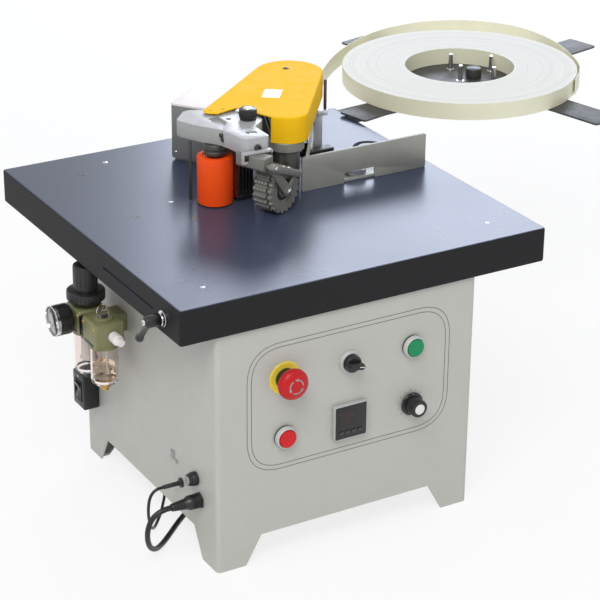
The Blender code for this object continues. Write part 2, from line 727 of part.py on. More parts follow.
def build_selector(root):
    """Two-way selector: ring base and a turning black handle."""
    place = front(CABINET_MID_X, ROW_HIGH)
    base = turned("selector_base", (
        (BEZEL_RADIUS - 0.001, 0.0050), (BEZEL_RADIUS, 0.0040), (BEZEL_RADIUS, GAP), (CUTOUT_RADIUS, GAP),
        (CUTOUT_RADIUS, -0.035), (0.0060, -0.035), (0.0060, 0.0050)), place, TO_FRONT, ROUND, True)
    finish(base, material("bezel_grey", (0.60, 0.60, 0.58), 0.30), root)
    knob = turned("selector_knob", (
        (0.0, 0.0120), (0.0105, 0.0120), (0.0115, 0.0110), (0.0115, 0.0056), (0.0060 - SLIP, 0.0056),
        (0.0060 - SLIP, -0.0250), (0.0, -0.0250)), place, (math.radians(90), math.radians(-40), 0), ROUND)
    finish(knob, black_plastic(), root)
    handle = box("selector_handle", (-0.0038, -0.0108, 0.0100), (0.0038, 0.0108, 0.0205), 0.0012)
    handle.matrix_parent_inverse.identity()
    boolean(knob, handle, "UNION")
    handle.parent = knob


def build_controller(root):
    """Panel-mounted temperature controller."""
    half = CONTROLLER_FACE / 2
    body = CONTROLLER_BODY / 2
    unit = rounded_box("temperature_controller",
                       (CABINET_MID_X - half, CABINET_FRONT - GAP - CONTROLLER_LIP, ROW_LOW - half),
                       (CABINET_MID_X + half, CABINET_FRONT - GAP, ROW_LOW + half), 0.002, 3, axis=1)
    finish(unit, material("controller_grey", (0.30, 0.30, 0.29), 0.45), root)
    join(unit, box("controller_body",
                   (CABINET_MID_X - body, CABINET_FRONT - GAP - CONTROLLER_LIP / 2, ROW_LOW - body),
                   (CABINET_MID_X + body, CABINET_FRONT + CONTROLLER_DEPTH, ROW_LOW + body)))


def build_speed_dial(root):
    """Stepped knob whose shaft runs through the panel."""
    place = front(COLUMN_RIGHT, ROW_LOW)
    knob = turned("speed_knob", (
        (0.0, DIAL_HEIGHT), (0.0075, DIAL_HEIGHT), (0.0080, DIAL_HEIGHT - 0.0012), (0.0115, 0.0220),
        (0.0122, 0.0080), (DIAL_SKIRT_RADIUS - 0.0005, 0.0068), (DIAL_SKIRT_RADIUS, 0.0060),
        (DIAL_SKIRT_RADIUS, 0.0036), (DIAL_SHAFT_RADIUS, 0.0036), (DIAL_SHAFT_RADIUS, -0.0150),
        (0.0, -0.0150)), place, TO_FRONT, ROUND_LARGE)
    finish(knob, black_plastic(), root)


# ================================================================ left side
def side(y, z):
    return (CABINET_LEFT, y, z)


def build_side_fittings(root):
    """Fuse holder, mains inlet gland and signal gland on the left wall."""
    fuse = turned("fuse_holder", (
        (0.0, 0.0135), (FUSE_RADIUS - 0.001, 0.0135), (FUSE_RADIUS, 0.0125), (FUSE_RADIUS, 0.0040),
        (FUSE_RADIUS + 0.0015, 0.0035), (FUSE_RADIUS + 0.0015, GAP), (FUSE_RADIUS * 0.7, GAP),
        (FUSE_RADIUS * 0.7, -0.0250), (0.0, -0.0250)), side(FUSE_Y, FUSE_Z), TO_LEFT, ROUND_SMALL)
    finish(fuse, black_plastic(), root)
    inlet = turned("mains_inlet", (
        (0.0, INLET_REACH), (0.0050, INLET_REACH), (INLET_RADIUS - 0.002, 0.0200), (INLET_RADIUS - 0.001, 0.0180),
        (INLET_RADIUS, 0.0165), (INLET_RADIUS, 0.0030),
        (INLET_RADIUS + 0.002, 0.0030), (INLET_RADIUS + 0.002, GAP), (INLET_RADIUS * 0.7, GAP),
        (INLET_RADIUS * 0.7, -0.0200), (0.0, -0.0200)), side(INLET_Y, INLET_Z), TO_LEFT, ROUND_SMALL)
    finish(inlet, black_plastic(), root)
    gland = turned("signal_gland", (
        (0.0, GLAND_REACH), (0.0030, GLAND_REACH), (GLAND_RADIUS - 0.0015, 0.0130),
        (GLAND_RADIUS - 0.001, 0.0120), (GLAND_RADIUS, 0.0105), (GLAND_RADIUS, GAP),
        (GLAND_RADIUS * 0.7, GAP), (GLAND_RADIUS * 0.7, -0.0150), (0.0, -0.0150)),
        side(GLAND_Y, GLAND_Z), TO_LEFT, ROUND_SMALL)
    finish(gland, black_plastic(), root)


def build_power_switch(root):
    """Black switch box near the back of the left wall, with a rocker."""
    low = (CABINET_LEFT - GAP - SWITCH_DEPTH, SWITCH_Y - SWITCH_WIDTH / 2, SWITCH_Z - SWITCH_HEIGHT / 2)
    high = (CABINET_LEFT - GAP, SWITCH_Y + SWITCH_WIDTH / 2, SWITCH_Z + SWITCH_HEIGHT / 2)
    case = box("switch_box", low, high, 0.0015)
    finish(case, black_plastic(), root)
    cut(case, box("rocker_pocket", (low[0] - REACH, SWITCH_Y - 0.0080, SWITCH_Z - 0.0130),
                  (low[0] + 0.0110, SWITCH_Y + 0.0080, SWITCH_Z + 0.0130)))
    outline = [(-0.0118, 0.0), (-0.0118, 0.0060), (0.0, 0.0045), (0.0118, 0.0085), (0.0118, 0.0025),
               (0.0, -0.0030)]
    rocker = flat("power_rocker", outline, -0.0074, 0.0074, (low[0] + 0.0045, SWITCH_Y, SWITCH_Z),
                  (math.radians(90), math.radians(-90), 0))
    finish(rocker, material("rocker_black", (0.03, 0.03, 0.03), 0.25), root)


def build_clamp_lever(root):
    """Stud in the table's left edge, its chrome washer and the lever that turns on it."""
    stud = turned("clamp_stud", (
        (0.0, 0.0060), (CLAMP_STUD_RADIUS, 0.0060), (CLAMP_STUD_RADIUS, 0.0032), (0.0100, 0.0032),
        (0.0100, GAP), (CLAMP_STUD_RADIUS, GAP), (CLAMP_STUD_RADIUS, -0.0190), (0.0, -0.0190)),
        (0, LEVER_Y, LEVER_Z), TO_LEFT, ROUND_SMALL)
    finish(stud, steel(), root)
    lever = turned("clamp_lever", (
        (0.0, 0.0270), (0.0055, 0.0270), (0.0075, 0.0240), (0.0080, 0.0063), (0.0, 0.0063)),
        (0, LEVER_Y, LEVER_Z), TO_LEFT, ROUND_SMALL)
    finish(lever, black_plastic(), root)
    handle = cylinder("lever_handle", 0.0042, 0.0, LEVER_LENGTH, (0, 0, 0.0190),
                      (math.radians(-90), 0, LEVER_ANGLE), 16)
    boolean(lever, handle, "UNION")
    handle.parent = lever
    tip = bmesh.new()
    bmesh.ops.create_uvsphere(tip, u_segments=16, v_segments=10, radius=0.0056)
    ball = mesh_object("lever_tip", tip, (-math.sin(LEVER_ANGLE) * LEVER_LENGTH,
                                          math.cos(LEVER_ANGLE) * LEVER_LENGTH, 0.0190))
    boolean(lever, ball, "UNION")
    ball.parent = lever


# ================================================================ air unit
def bowl(name, y, low, high):
    """A clear cup under the air unit's body, open at its neck, with its drain."""
    outer = BOWL_RADIUS
    inner = BOWL_RADIUS - BOWL_WALL
    return turned(name, (
        (0.0, low + 0.006), (inner * 0.80, low + 0.006), (inner, low + 0.012), (inner, high), (outer, high),
        (outer, low + 0.010), (outer * 0.80, low + 0.003), (0.0055, low), (0.0050, low - 0.006),
        (0.0, low - 0.006)), (AIR_X, y, 0), (0, 0, 0), ROUND)


def build_air_body(root):
    """Zinc body of the filter-regulator and lubricator, with the bracket to the cabinet."""
    half = AIR_BODY_WIDTH / 2
    body = box("air_unit_body",
               (AIR_X - half, LUBRICATOR_Y - half, AIR_BODY_BASE),
               (AIR_X + half, REGULATOR_Y + half, AIR_BODY_TOP), 0.002)
    finish(body, material("olive_zinc", (0.20, 0.20, 0.13), 0.45), root)
    join(body, box("air_bracket", (AIR_X + half - 0.004, REGULATOR_Y - 0.040, AIR_BODY_BASE + 0.008),
                   (CABINET_LEFT - GAP, REGULATOR_Y - 0.010, AIR_BODY_TOP - 0.006)),
         cylinder("sight_dome", 0.0080, AIR_BODY_TOP - 0.002, AIR_BODY_TOP + 0.018,
                  (AIR_X, LUBRICATOR_Y, 0), sides=ROUND_SMALL),
         cylinder("outlet_fitting", 0.0072, half - 0.002, half + 0.024, (AIR_X + 0.004, LUBRICATOR_Y, 0.246),
                  TO_FRONT, ROUND_SMALL))
    cut(body,
        cylinder("regulator_seat", KNOB_COLUMN_RADIUS - 0.004 + SLIP, AIR_BODY_TOP - 0.006,
                 AIR_BODY_TOP + REACH, (AIR_X, REGULATOR_Y, 0)),
        cylinder("gauge_port", 0.0045, half - 0.008, half + REACH, (AIR_X, REGULATOR_Y, GAUGE_Z), TO_LEFT, ROUND_TINY))


def build_air_unit(root):
    """Everything that screws into the air unit's body."""
    build_air_body(root)
    clear = material("clear_bowl", (0.70, 0.68, 0.66), 0.10)
    top = AIR_BODY_BASE - GAP
    finish(bowl("regulator_bowl", REGULATOR_Y, REGULATOR_BOWL_BASE, top), clear, root)
    finish(bowl("lubricator_bowl", LUBRICATOR_Y, LUBRICATOR_BOWL_BASE, top), clear, root)
    seat = KNOB_COLUMN_RADIUS - 0.004
    knob = turned("regulator_knob", (
        (0.0, KNOB_TOP), (KNOB_COLUMN_RADIUS - 0.001, KNOB_TOP), (KNOB_COLUMN_RADIUS, KNOB_TOP - 0.001),
        (KNOB_COLUMN_RADIUS, KNOB_RING_TOP), (KNOB_RING_RADIUS - 0.001, KNOB_RING_TOP),
        (KNOB_RING_RADIUS, KNOB_RING_TOP - 0.001), (KNOB_RING_RADIUS, AIR_BODY_TOP + 0.008),
        (KNOB_COLUMN_RADIUS + 0.001, AIR_BODY_TOP + 0.002), (seat, AIR_BODY_TOP + 0.002),
        (seat, AIR_BODY_TOP - 0.005), (0.0, AIR_BODY_TOP - 0.005)), (AIR_X, REGULATOR_Y, 0), (0, 0, 0), ROUND_LARGE)
    finish(knob, black_plastic(), root)
    half = AIR_BODY_WIDTH / 2
    gauge = turned("pressure_gauge", (
        (0.0, half + GAUGE_DEPTH + 0.001), (GAUGE_RADIUS - 0.0025, half + GAUGE_DEPTH + 0.001),
        (GAUGE_RADIUS - 0.0025, half + 0.004 + GAUGE_DEPTH), (GAUGE_RADIUS, half + 0.003 + GAUGE_DEPTH),
        (GAUGE_RADIUS, half + 0.004), (0.0060, half + 0.004), (0.0060, half + GAP), (0.0042, half + GAP),
        (0.0042, half - 0.007), (0.0, half - 0.007)), (AIR_X, REGULATOR_Y, GAUGE_Z), TO_LEFT, ROUND_LARGE)
    finish(gauge, black_plastic(), root)


# ================================================================ fence
def build_fence(root):
    """Infeed fence: upright plate with a notch, on a slotted foot, and its clamp knob."""
    base = TABLE_HEIGHT + GAP
    top = base + FENCE_HEIGHT
    round_corner = arc((FENCE_LEFT + 0.005, top - 0.005), 0.005, 180, 90, 4)
    outline = [(FENCE_RIGHT, top), (FENCE_RIGHT, base), (NOTCH_RIGHT, base), (NOTCH_RIGHT, base + NOTCH_HEIGHT),
               (NOTCH_LEFT, base + NOTCH_HEIGHT), (NOTCH_LEFT, base), (FENCE_LEFT, base)] + round_corner
    plate = flat("fence_plate", outline, -FENCE_THICKNESS, 0, (0, FENCE_FACE, 0), TO_FRONT)
    finish(plate, plate_steel(), root)
    back = FENCE_FACE + FENCE_THICKNESS
    join(plate, box("fence_foot", (FENCE_FOOT_LEFT, back - 0.002, base),
                    (FENCE_FOOT_RIGHT, back + FENCE_FOOT_DEPTH, base + FENCE_FOOT_THICKNESS)))
    width = CLAMP_STUD_RADIUS + FENCE_TRAVEL + SLIP
    cut(plate,
        box("fence_slot", (CLAMP_X - CLAMP_STUD_RADIUS - SLIP, CLAMP_Y - width, base - REACH),
            (CLAMP_X + CLAMP_STUD_RADIUS + SLIP, CLAMP_Y + width, base + 0.010)),
        box("fence_gate", (NOTCH_LEFT + GAP, FENCE_FACE - REACH, base - REACH),
            (NOTCH_RIGHT - GAP, back, base + FENCE_FOOT_THICKNESS + 0.001)))
    knob_base = base + FENCE_FOOT_THICKNESS + GAP
    knob = turned("fence_clamp", (
        (0.0, knob_base + 0.0125), (0.0065, knob_base + 0.0125), (0.0070, knob_base + 0.0115),
        (0.0070, knob_base + 0.0085), (CLAMP_RADIUS - 0.001, knob_base + 0.0085),
        (CLAMP_RADIUS, knob_base + 0.0075), (CLAMP_RADIUS, knob_base + 0.0010),
        (CLAMP_RADIUS - 0.001, knob_base), (CLAMP_STUD_RADIUS, knob_base),
        (CLAMP_STUD_RADIUS, TABLE_HEIGHT - 0.018), (0.0, TABLE_HEIGHT - 0.018)),
        (CLAMP_X, CLAMP_Y, 0), (0, 0, 0), ROUND_LARGE)
    finish(knob, steel(), root)


# ================================================================ pressing arm
def build_pressing_arm(root):
    """Cast arm on its post, with the roller spindle, guard bar and tension knob."""
    outline = [(0.1640, 0.3266), (0.1660, 0.3180), (0.1810, 0.2860), (0.1900, 0.2760), (0.1980, 0.2680),
               (0.2015, 0.2446), (0.2030, 0.2270), (0.2067, 0.2195), (0.2140, 0.2170), (0.2370, 0.2160),
               (0.2400, 0.2190), (0.2405, 0.2560), (0.2560, 0.2680), (0.2630, 0.2760), (0.2630, 0.2960),
               (0.2500, 0.3150), (0.2350, 0.3330), (0.1960, 0.3520), (0.1880, 0.3510)]
    arm = flat("pressing_arm", outline, ARM_BASE, ARM_TOP)
    finish(arm, cast(), root)
    turn = (math.radians(90), 0, WHEEL_TURN)
    pivot = wheel_point(WHEEL_PIVOT_ALONG, WHEEL_PIVOT_UP, 0)
    hanger_top = ARM_BASE + 0.001 - pivot[2]
    join(arm,
         box("guard_tab", (GUARD_X - 0.0030, GUARD_Y - 0.0015, ARM_BASE - 0.004),
             (GUARD_X + 0.0130, GUARD_Y + 0.0120, ARM_BASE + 0.001)),
         box("roller_guard", (GUARD_X - 0.0030, GUARD_Y - 0.0015, TABLE_HEIGHT + 0.002),
             (GUARD_X + 0.0028, GUARD_Y + 0.0013, ARM_BASE - 0.001)),
         flat("arm_hanger", [(-0.0090, -0.0070), (0.0110, -0.0070), (0.0110, hanger_top), (-0.0090, hanger_top)],
              -HANGER_DEPTH, -0.0015, pivot, turn))
    cut(arm, cylinder("hanger_bore", FORK_PIN_RADIUS + SLIP, -0.042, 0.010, pivot, turn, ROUND_SMALL),
        cylinder("arm_bore", PIVOT_RADIUS + SLIP, ARM_BASE - REACH, ARM_TOP + REACH,
                      (PIVOT_X, PIVOT_Y, 0)),
        cylinder("tension_bore", 0.0030 + SLIP, ARM_TOP - 0.012, ARM_TOP + REACH, (TENSION_X, TENSION_Y, 0)),
        cylinder("spindle_bore", 0.0060 + GAP, ARM_BASE - REACH, ARM_BASE + 0.012,
                 (ROLLER_X, ROLLER_Y, 0)))
    post = turned("arm_pivot_post", (
        (0.0, ARM_TOP - 0.001), (PIVOT_RADIUS, ARM_TOP - 0.001), (PIVOT_RADIUS, ARM_BASE - GAP),
        (POST_RADIUS, ARM_BASE - GAP), (POST_RADIUS, TABLE_HEIGHT + 0.008), (0.0180, TABLE_HEIGHT + 0.008),
        (0.0180, TABLE_HEIGHT + GAP), (0.0, TABLE_HEIGHT + GAP)), (PIVOT_X, PIVOT_Y, 0), (0, 0, 0), ROUND_SMALL)
    finish(post, plate_steel(), root)
    knob = turned("tension_knob", (
        (0.0, ARM_TOP + TENSION_HEIGHT), (TENSION_RADIUS - 0.001, ARM_TOP + TENSION_HEIGHT),
        (TENSION_RADIUS, ARM_TOP + TENSION_HEIGHT - 0.001), (TENSION_RADIUS, ARM_TOP + GAP),
        (0.0030, ARM_TOP + GAP), (0.0030, ARM_TOP - 0.010), (0.0, ARM_TOP - 0.010)),
        (TENSION_X, TENSION_Y, 0), (0, 0, 0), ROUND)
    finish(knob, black_plastic(), root)


def build_press_roller(root):
    """Orange roller on its fixed spindle."""
    top = ROLLER_BASE + ROLLER_HEIGHT
    roller = turned("press_roller", (
        (ROLLER_RADIUS - 0.0008, top), (ROLLER_RADIUS, top - 0.0008), (ROLLER_RADIUS, ROLLER_BASE + 0.0008),
        (ROLLER_RADIUS - 0.0008, ROLLER_BASE), (ROLLER_BORE, ROLLER_BASE), (ROLLER_BORE, top)),
        (ROLLER_X, ROLLER_Y, 0), (0, 0, 0), 32, True)
    finish(roller, material("orange_rubber", (0.90, 0.12, 0.02), 0.40), root)
    spindle = turned("roller_spindle", (
        (0.0, ARM_BASE + 0.011), (0.0060, ARM_BASE + 0.011), (0.0060, ARM_BASE - GAP),
        (HUB_RADIUS - 0.001, ARM_BASE - GAP), (HUB_RADIUS, ARM_BASE - 0.002), (HUB_RADIUS, top + 0.004),
        (HUB_RADIUS - 0.003, top + 0.0006), (ROLLER_BORE - SLIP, top + 0.0006),
        (ROLLER_BORE - SLIP, ROLLER_BASE), (0.0, ROLLER_BASE)), (ROLLER_X, ROLLER_Y, 0), (0, 0, 0), ROUND)
    finish(spindle, material("dark_steel", (0.12, 0.12, 0.12), 0.40, 0.8), root)


# ================================================================ feed wheel
def wheel_point(along, up, out):
    """A point given in the wheel's own plane, in the table's frame."""
    return (WHEEL_X + along * math.cos(WHEEL_TURN) + out * math.sin(WHEEL_TURN),
            WHEEL_Y + along * math.sin(WHEEL_TURN) - out * math.cos(WHEEL_TURN), WHEEL_Z + up)


def wheel_outline():
    """Saw teeth round the feed wheel."""
    outline = []
    pitch = 2 * math.pi / WHEEL_TEETH
    for tooth in range(WHEEL_TEETH):
        for share, radius in ((0.0, WHEEL_ROOT), (0.22, WHEEL_RADIUS), (0.60, WHEEL_RADIUS), (0.78, WHEEL_ROOT)):
            angle = (tooth + share) * pitch
            outline.append((radius * math.cos(angle), radius * math.sin(angle)))
    return outline


def build_feed_wheel(root):
    """Toothed wheel on a swinging arm that hangs from the pressing arm."""
    turn = (math.radians(90), 0, WHEEL_TURN)
    wheel = flat("feed_wheel", wheel_outline(), -WHEEL_WIDTH, 0, wheel_point(0, 0, 0), turn)
    finish(wheel, cast(), root)
    bore = cylinder("wheel_bore", WHEEL_BORE, -WHEEL_WIDTH - REACH, REACH)
    recess = cylinder("wheel_recess", 0.0130, -0.0060, REACH, sides=ROUND_LARGE)
    boolean(wheel, bore, "DIFFERENCE")
    boolean(wheel, recess, "DIFFERENCE")
    bore.parent = wheel
    recess.parent = wheel

    pivot = wheel_point(WHEEL_PIVOT_ALONG, WHEEL_PIVOT_UP, 0)
    wrap = wrap_outline([(-WHEEL_PIVOT_ALONG, -WHEEL_PIVOT_UP, 0.0090), (0.0, 0.0, 0.0065)], steps=8)
    arm = flat("wheel_arm", wrap, FORK_OFFSET, FORK_OFFSET + FORK_PLATE, pivot, turn)
    finish(arm, cast(), root)
    hub = (-WHEEL_PIVOT_ALONG, -WHEEL_PIVOT_UP, 0)
    pieces = (
        cylinder("arm_pin", FORK_PIN_RADIUS, -0.0370, FORK_OFFSET + FORK_PLATE + 0.003, sides=ROUND_SMALL),
        cylinder("axle", WHEEL_BORE - SLIP, -WHEEL_WIDTH - 0.0030, FORK_OFFSET + 0.002, hub, sides=ROUND_SMALL),
        cylinder("axle_head", 0.0058, FORK_OFFSET + 0.001, FORK_OFFSET + FORK_PLATE + 0.005, hub, sides=ROUND_SMALL),
        cylinder("axle_washer", 0.0070, -WHEEL_WIDTH - 0.0050, -WHEEL_WIDTH - 0.0010, hub, sides=ROUND_SMALL),
        box("arm_web", (hub[0] - 0.0120, hub[1] + 0.0060, FORK_OFFSET + 0.0004),
            (hub[0] + 0.0060, hub[1] + 0.0180, FORK_OFFSET + FORK_PLATE - 0.0004)),
        box("arm_shoe", (hub[0] - 0.0040, hub[1] + 0.0085, FORK_OFFSET - 0.0004),
            (hub[0] + 0.0200, hub[1] + 0.0160, FORK_OFFSET + 0.0130)))
    for piece in pieces:
        boolean(arm, piece, "UNION")
        piece.parent = arm


# ================================================================ cutter
def build_cutter(root):
    """Pneumatic tape cutter: black body and a blade that slides forward."""
    body = box("cutter_body", (CUTTER_LEFT, CUTTER_FRONT, TABLE_HEIGHT + GAP),
               (CUTTER_LEFT + CUTTER_WIDTH, CUTTER_FRONT + CUTTER_DEPTH, TABLE_HEIGHT + CUTTER_HEIGHT), 0.001)
    finish(body, black_plastic(), root)
    for slot in range(4):
        x = CUTTER_LEFT + 0.0030 + slot * 0.0050
        cut(body, box(f"flute_{slot}", (x, CUTTER_FRONT - REACH, TABLE_HEIGHT + 0.012),
                      (x + 0.0022, CUTTER_FRONT + 0.0030, TABLE_HEIGHT + CUTTER_HEIGHT + REACH)))
    right = CUTTER_LEFT - GAP
    blade = box("cutter_blade", (right - BLADE_THICKNESS, CUTTER_FRONT, TABLE_HEIGHT + 0.002),
                (right, CUTTER_FRONT + CUTTER_DEPTH - 0.004, TABLE_HEIGHT + 0.002 + BLADE_HEIGHT))
    finish(blade, steel(), root)


# ================================================================ gluing head
COVER_CIRCLES = [(COVER_FRONT_X, COVER_FRONT_Y, COVER_FRONT_RADIUS), (COVER_BACK_X, COVER_BACK_Y, COVER_BACK_RADIUS),
                 (LOBE_X, LOBE_Y, LOBE_RADIUS)]


def build_cover(root):
    """Yellow chain cover: a skirted top with a flat lobe to the left and a notch for the arm's knob."""
    cover = flat("chain_cover", wrap_outline(COVER_CIRCLES), COVER_BASE, COVER_TOP)
    finish(cover, yellow_paint(), root)
    hollow = wrap_outline(COVER_CIRCLES, COVER_WALL)
    cut(cover,
        flat("cover_hollow", hollow, COVER_BASE - REACH, COVER_TOP - COVER_WALL),
        flat("cover_notch", COVER_NOTCH, COVER_BASE - REACH, COVER_TOP + REACH),
        box("lobe_trim", (LOBE_X - 0.050, LOBE_Y - 0.060, COVER_BASE - REACH),
            (LOBE_FLAT_END, LOBE_Y + 0.045, COVER_TOP - COVER_WALL)))


def build_drive(root):
    """Motor, head plate, sprockets and chain under the cover."""
    plate_base = COVER_BASE + 0.0010
    plate_top = plate_base + HEAD_PLATE_THICKNESS
    plate = flat("head_plate", wrap_outline(COVER_CIRCLES[:2], HEAD_PLATE_INSET), plate_base, plate_top)
    finish(plate, plate_steel(), root)
    join(plate,
         cylinder("glue_collar", COLLAR_RADIUS, COLLAR_BASE, COVER_BASE - GAP, (GLUE_X, GLUE_Y, 0), sides=ROUND_LARGE),
         cylinder("glue_neck", NECK_RADIUS, COVER_BASE - 0.004, plate_base + 0.001, (GLUE_X, GLUE_Y, 0),
                  sides=ROUND_LARGE))
    shaft = GLUE_SHAFT + SLIP
    cut(plate,
        cylinder("plate_motor_bore", shaft, plate_base - REACH, plate_top + REACH, (MOTOR_X, MOTOR_Y, 0)),
        cylinder("plate_glue_bore", shaft, COLLAR_BASE - REACH, plate_top + REACH, (GLUE_X, GLUE_Y, 0)))
    motor = turned("gear_motor", (
        (0.0, plate_base - 0.030), (shaft, plate_base - 0.030), (shaft, COVER_BASE - GAP),
        (MOTOR_RADIUS - 0.002, COVER_BASE - GAP), (MOTOR_RADIUS, COVER_BASE - 0.003),
        (MOTOR_RADIUS, TABLE_HEIGHT + 0.010), (MOTOR_RADIUS + 0.002, TABLE_HEIGHT + 0.010),
        (MOTOR_RADIUS + 0.002, TABLE_HEIGHT + GAP), (0.0, TABLE_HEIGHT + GAP)),
        (MOTOR_X, MOTOR_Y, 0), (0, 0, 0), ROUND_LARGE)
    finish(motor, material("motor_grey", (0.16, 0.17, 0.17), 0.50, 0.3), root)
    top = SPROCKET_BASE + SPROCKET_WIDTH
    drive = turned("motor_sprocket", (
        (0.0, top + 0.006), (0.0080, top + 0.006), (0.0080, top), (MOTOR_SPROCKET, top),
        (MOTOR_SPROCKET, SPROCKET_BASE), (0.0090, SPROCKET_BASE), (0.0090, plate_top + 0.001),
        (GLUE_SHAFT, plate_top + 0.001), (GLUE_SHAFT, plate_base - 0.028), (0.0, plate_base - 0.028)),
        (MOTOR_X, MOTOR_Y, 0), (0, 0, 0), ROUND)
    finish(drive, plate_steel(), root)
    follower = turned("glue_sprocket", (
        (0.0090, top + 0.004), (0.0090, top), (GLUE_SPROCKET, top), (GLUE_SPROCKET, SPROCKET_BASE),
        (0.0090, SPROCKET_BASE), (0.0090, plate_top + 0.001), (GLUE_SHAFT + GAP, plate_top + 0.001),
        (GLUE_SHAFT + GAP, top + 0.004)), (GLUE_X, GLUE_Y, 0), (0, 0, 0), ROUND_SMALL, True)
    finish(follower, plate_steel(), root)
    middle = SPROCKET_BASE + SPROCKET_WIDTH / 2
    loop = [(GLUE_X, GLUE_Y, GLUE_SPROCKET + GAP + CHAIN_THICKNESS),
            (MOTOR_X, MOTOR_Y, MOTOR_SPROCKET + GAP + CHAIN_THICKNESS)]
    chain = flat("drive_chain", wrap_outline(loop, steps=14), middle - CHAIN_HEIGHT / 2, middle + CHAIN_HEIGHT / 2)
    finish(chain, plate_steel(), root)
    cut(chain, flat("chain_inside", wrap_outline(loop, CHAIN_THICKNESS, steps=14), middle - CHAIN_HEIGHT,
                    middle + CHAIN_HEIGHT))


def build_glue_unit(root):
    """Glue roller in its bearing collar, the chamber behind it, the heated tank, its lid and pipe."""
    roller = turned("glue_roller", (
        (0.0, SPROCKET_BASE + 0.012), (GLUE_SHAFT, SPROCKET_BASE + 0.012), (GLUE_SHAFT, COLLAR_BASE - 0.001),
        (GLUE_RADIUS, COLLAR_BASE - 0.001), (GLUE_RADIUS, TABLE_HEIGHT + 0.002), (0.0, TABLE_HEIGHT + 0.002)),
        (GLUE_X, GLUE_Y, 0), (0, 0, 0), ROUND_LARGE)
    finish(roller, plate_steel(), root)
    chamber = box("glue_chamber", (GLUE_X - 0.0220, GLUE_Y + 0.0030, TABLE_HEIGHT + GAP),
                  (GLUE_X + 0.0170, GLUE_Y + 0.0330, COLLAR_BASE - GAP), 0.001)
    finish(chamber, plate_steel(), root)
    join(chamber, cylinder("glue_pipe", PIPE_RADIUS, -0.002, PIPE_LENGTH, (PIPE_X, GLUE_Y + 0.0330, PIPE_Z),
                           (math.radians(-90), 0, PIPE_TURN), 16))
    cut(chamber, cylinder("chamber_bore", GLUE_RADIUS + 0.001, TABLE_HEIGHT - REACH, COLLAR_BASE + REACH,
                          (GLUE_X, GLUE_Y, 0), sides=ROUND_LARGE))
    place = (TANK_X, TANK_Y, 0)
    turn = (0, 0, TANK_TURN)
    half_x = TANK_LENGTH / 2
    half_y = TANK_WIDTH / 2
    tank = rounded_box("glue_tank", (-half_x, -half_y, TANK_BASE), (half_x, half_y, TANK_TOP), 0.006, 3)
    tank.location.x += place[0]
    tank.location.y += place[1]
    tank.rotation_euler = turn
    finish(tank, material("tank_grey", (0.20, 0.21, 0.21), 0.50, 0.3), root)
    inside = box("tank_inside", (-half_x + TANK_WALL, -half_y + TANK_WALL, TANK_BASE + TANK_WALL),
                 (half_x - TANK_WALL, half_y - TANK_WALL, TANK_TOP + REACH))
    inside.location.x += place[0]
    inside.location.y += place[1]
    inside.rotation_euler = turn
    cut(tank, inside)
    foot = box("tank_foot", (-half_x + 0.004, -half_y + 0.004, TABLE_HEIGHT + GAP),
               (half_x - 0.004, half_y - 0.004, TANK_BASE + 0.001))
    foot.location.x += place[0]
    foot.location.y += place[1]
    foot.rotation_euler = turn
    join(tank, foot)
    hinge = Vector((half_x * math.cos(TANK_TURN), half_x * math.sin(TANK_TURN), 0))
    lid = rounded_box("tank_lid", (-TANK_LENGTH, -half_y, GAP), (0.0, half_y, LID_THICKNESS), 0.006, 3)
    for vertex in lid.data.vertices:
        vertex.co += lid.location
    lid.location = (place[0] + hinge.x, place[1] + hinge.y, TANK_TOP)
    lid.rotation_euler = turn
    finish(lid, material("lid_cream", (0.72, 0.70, 0.68), 0.40), root)


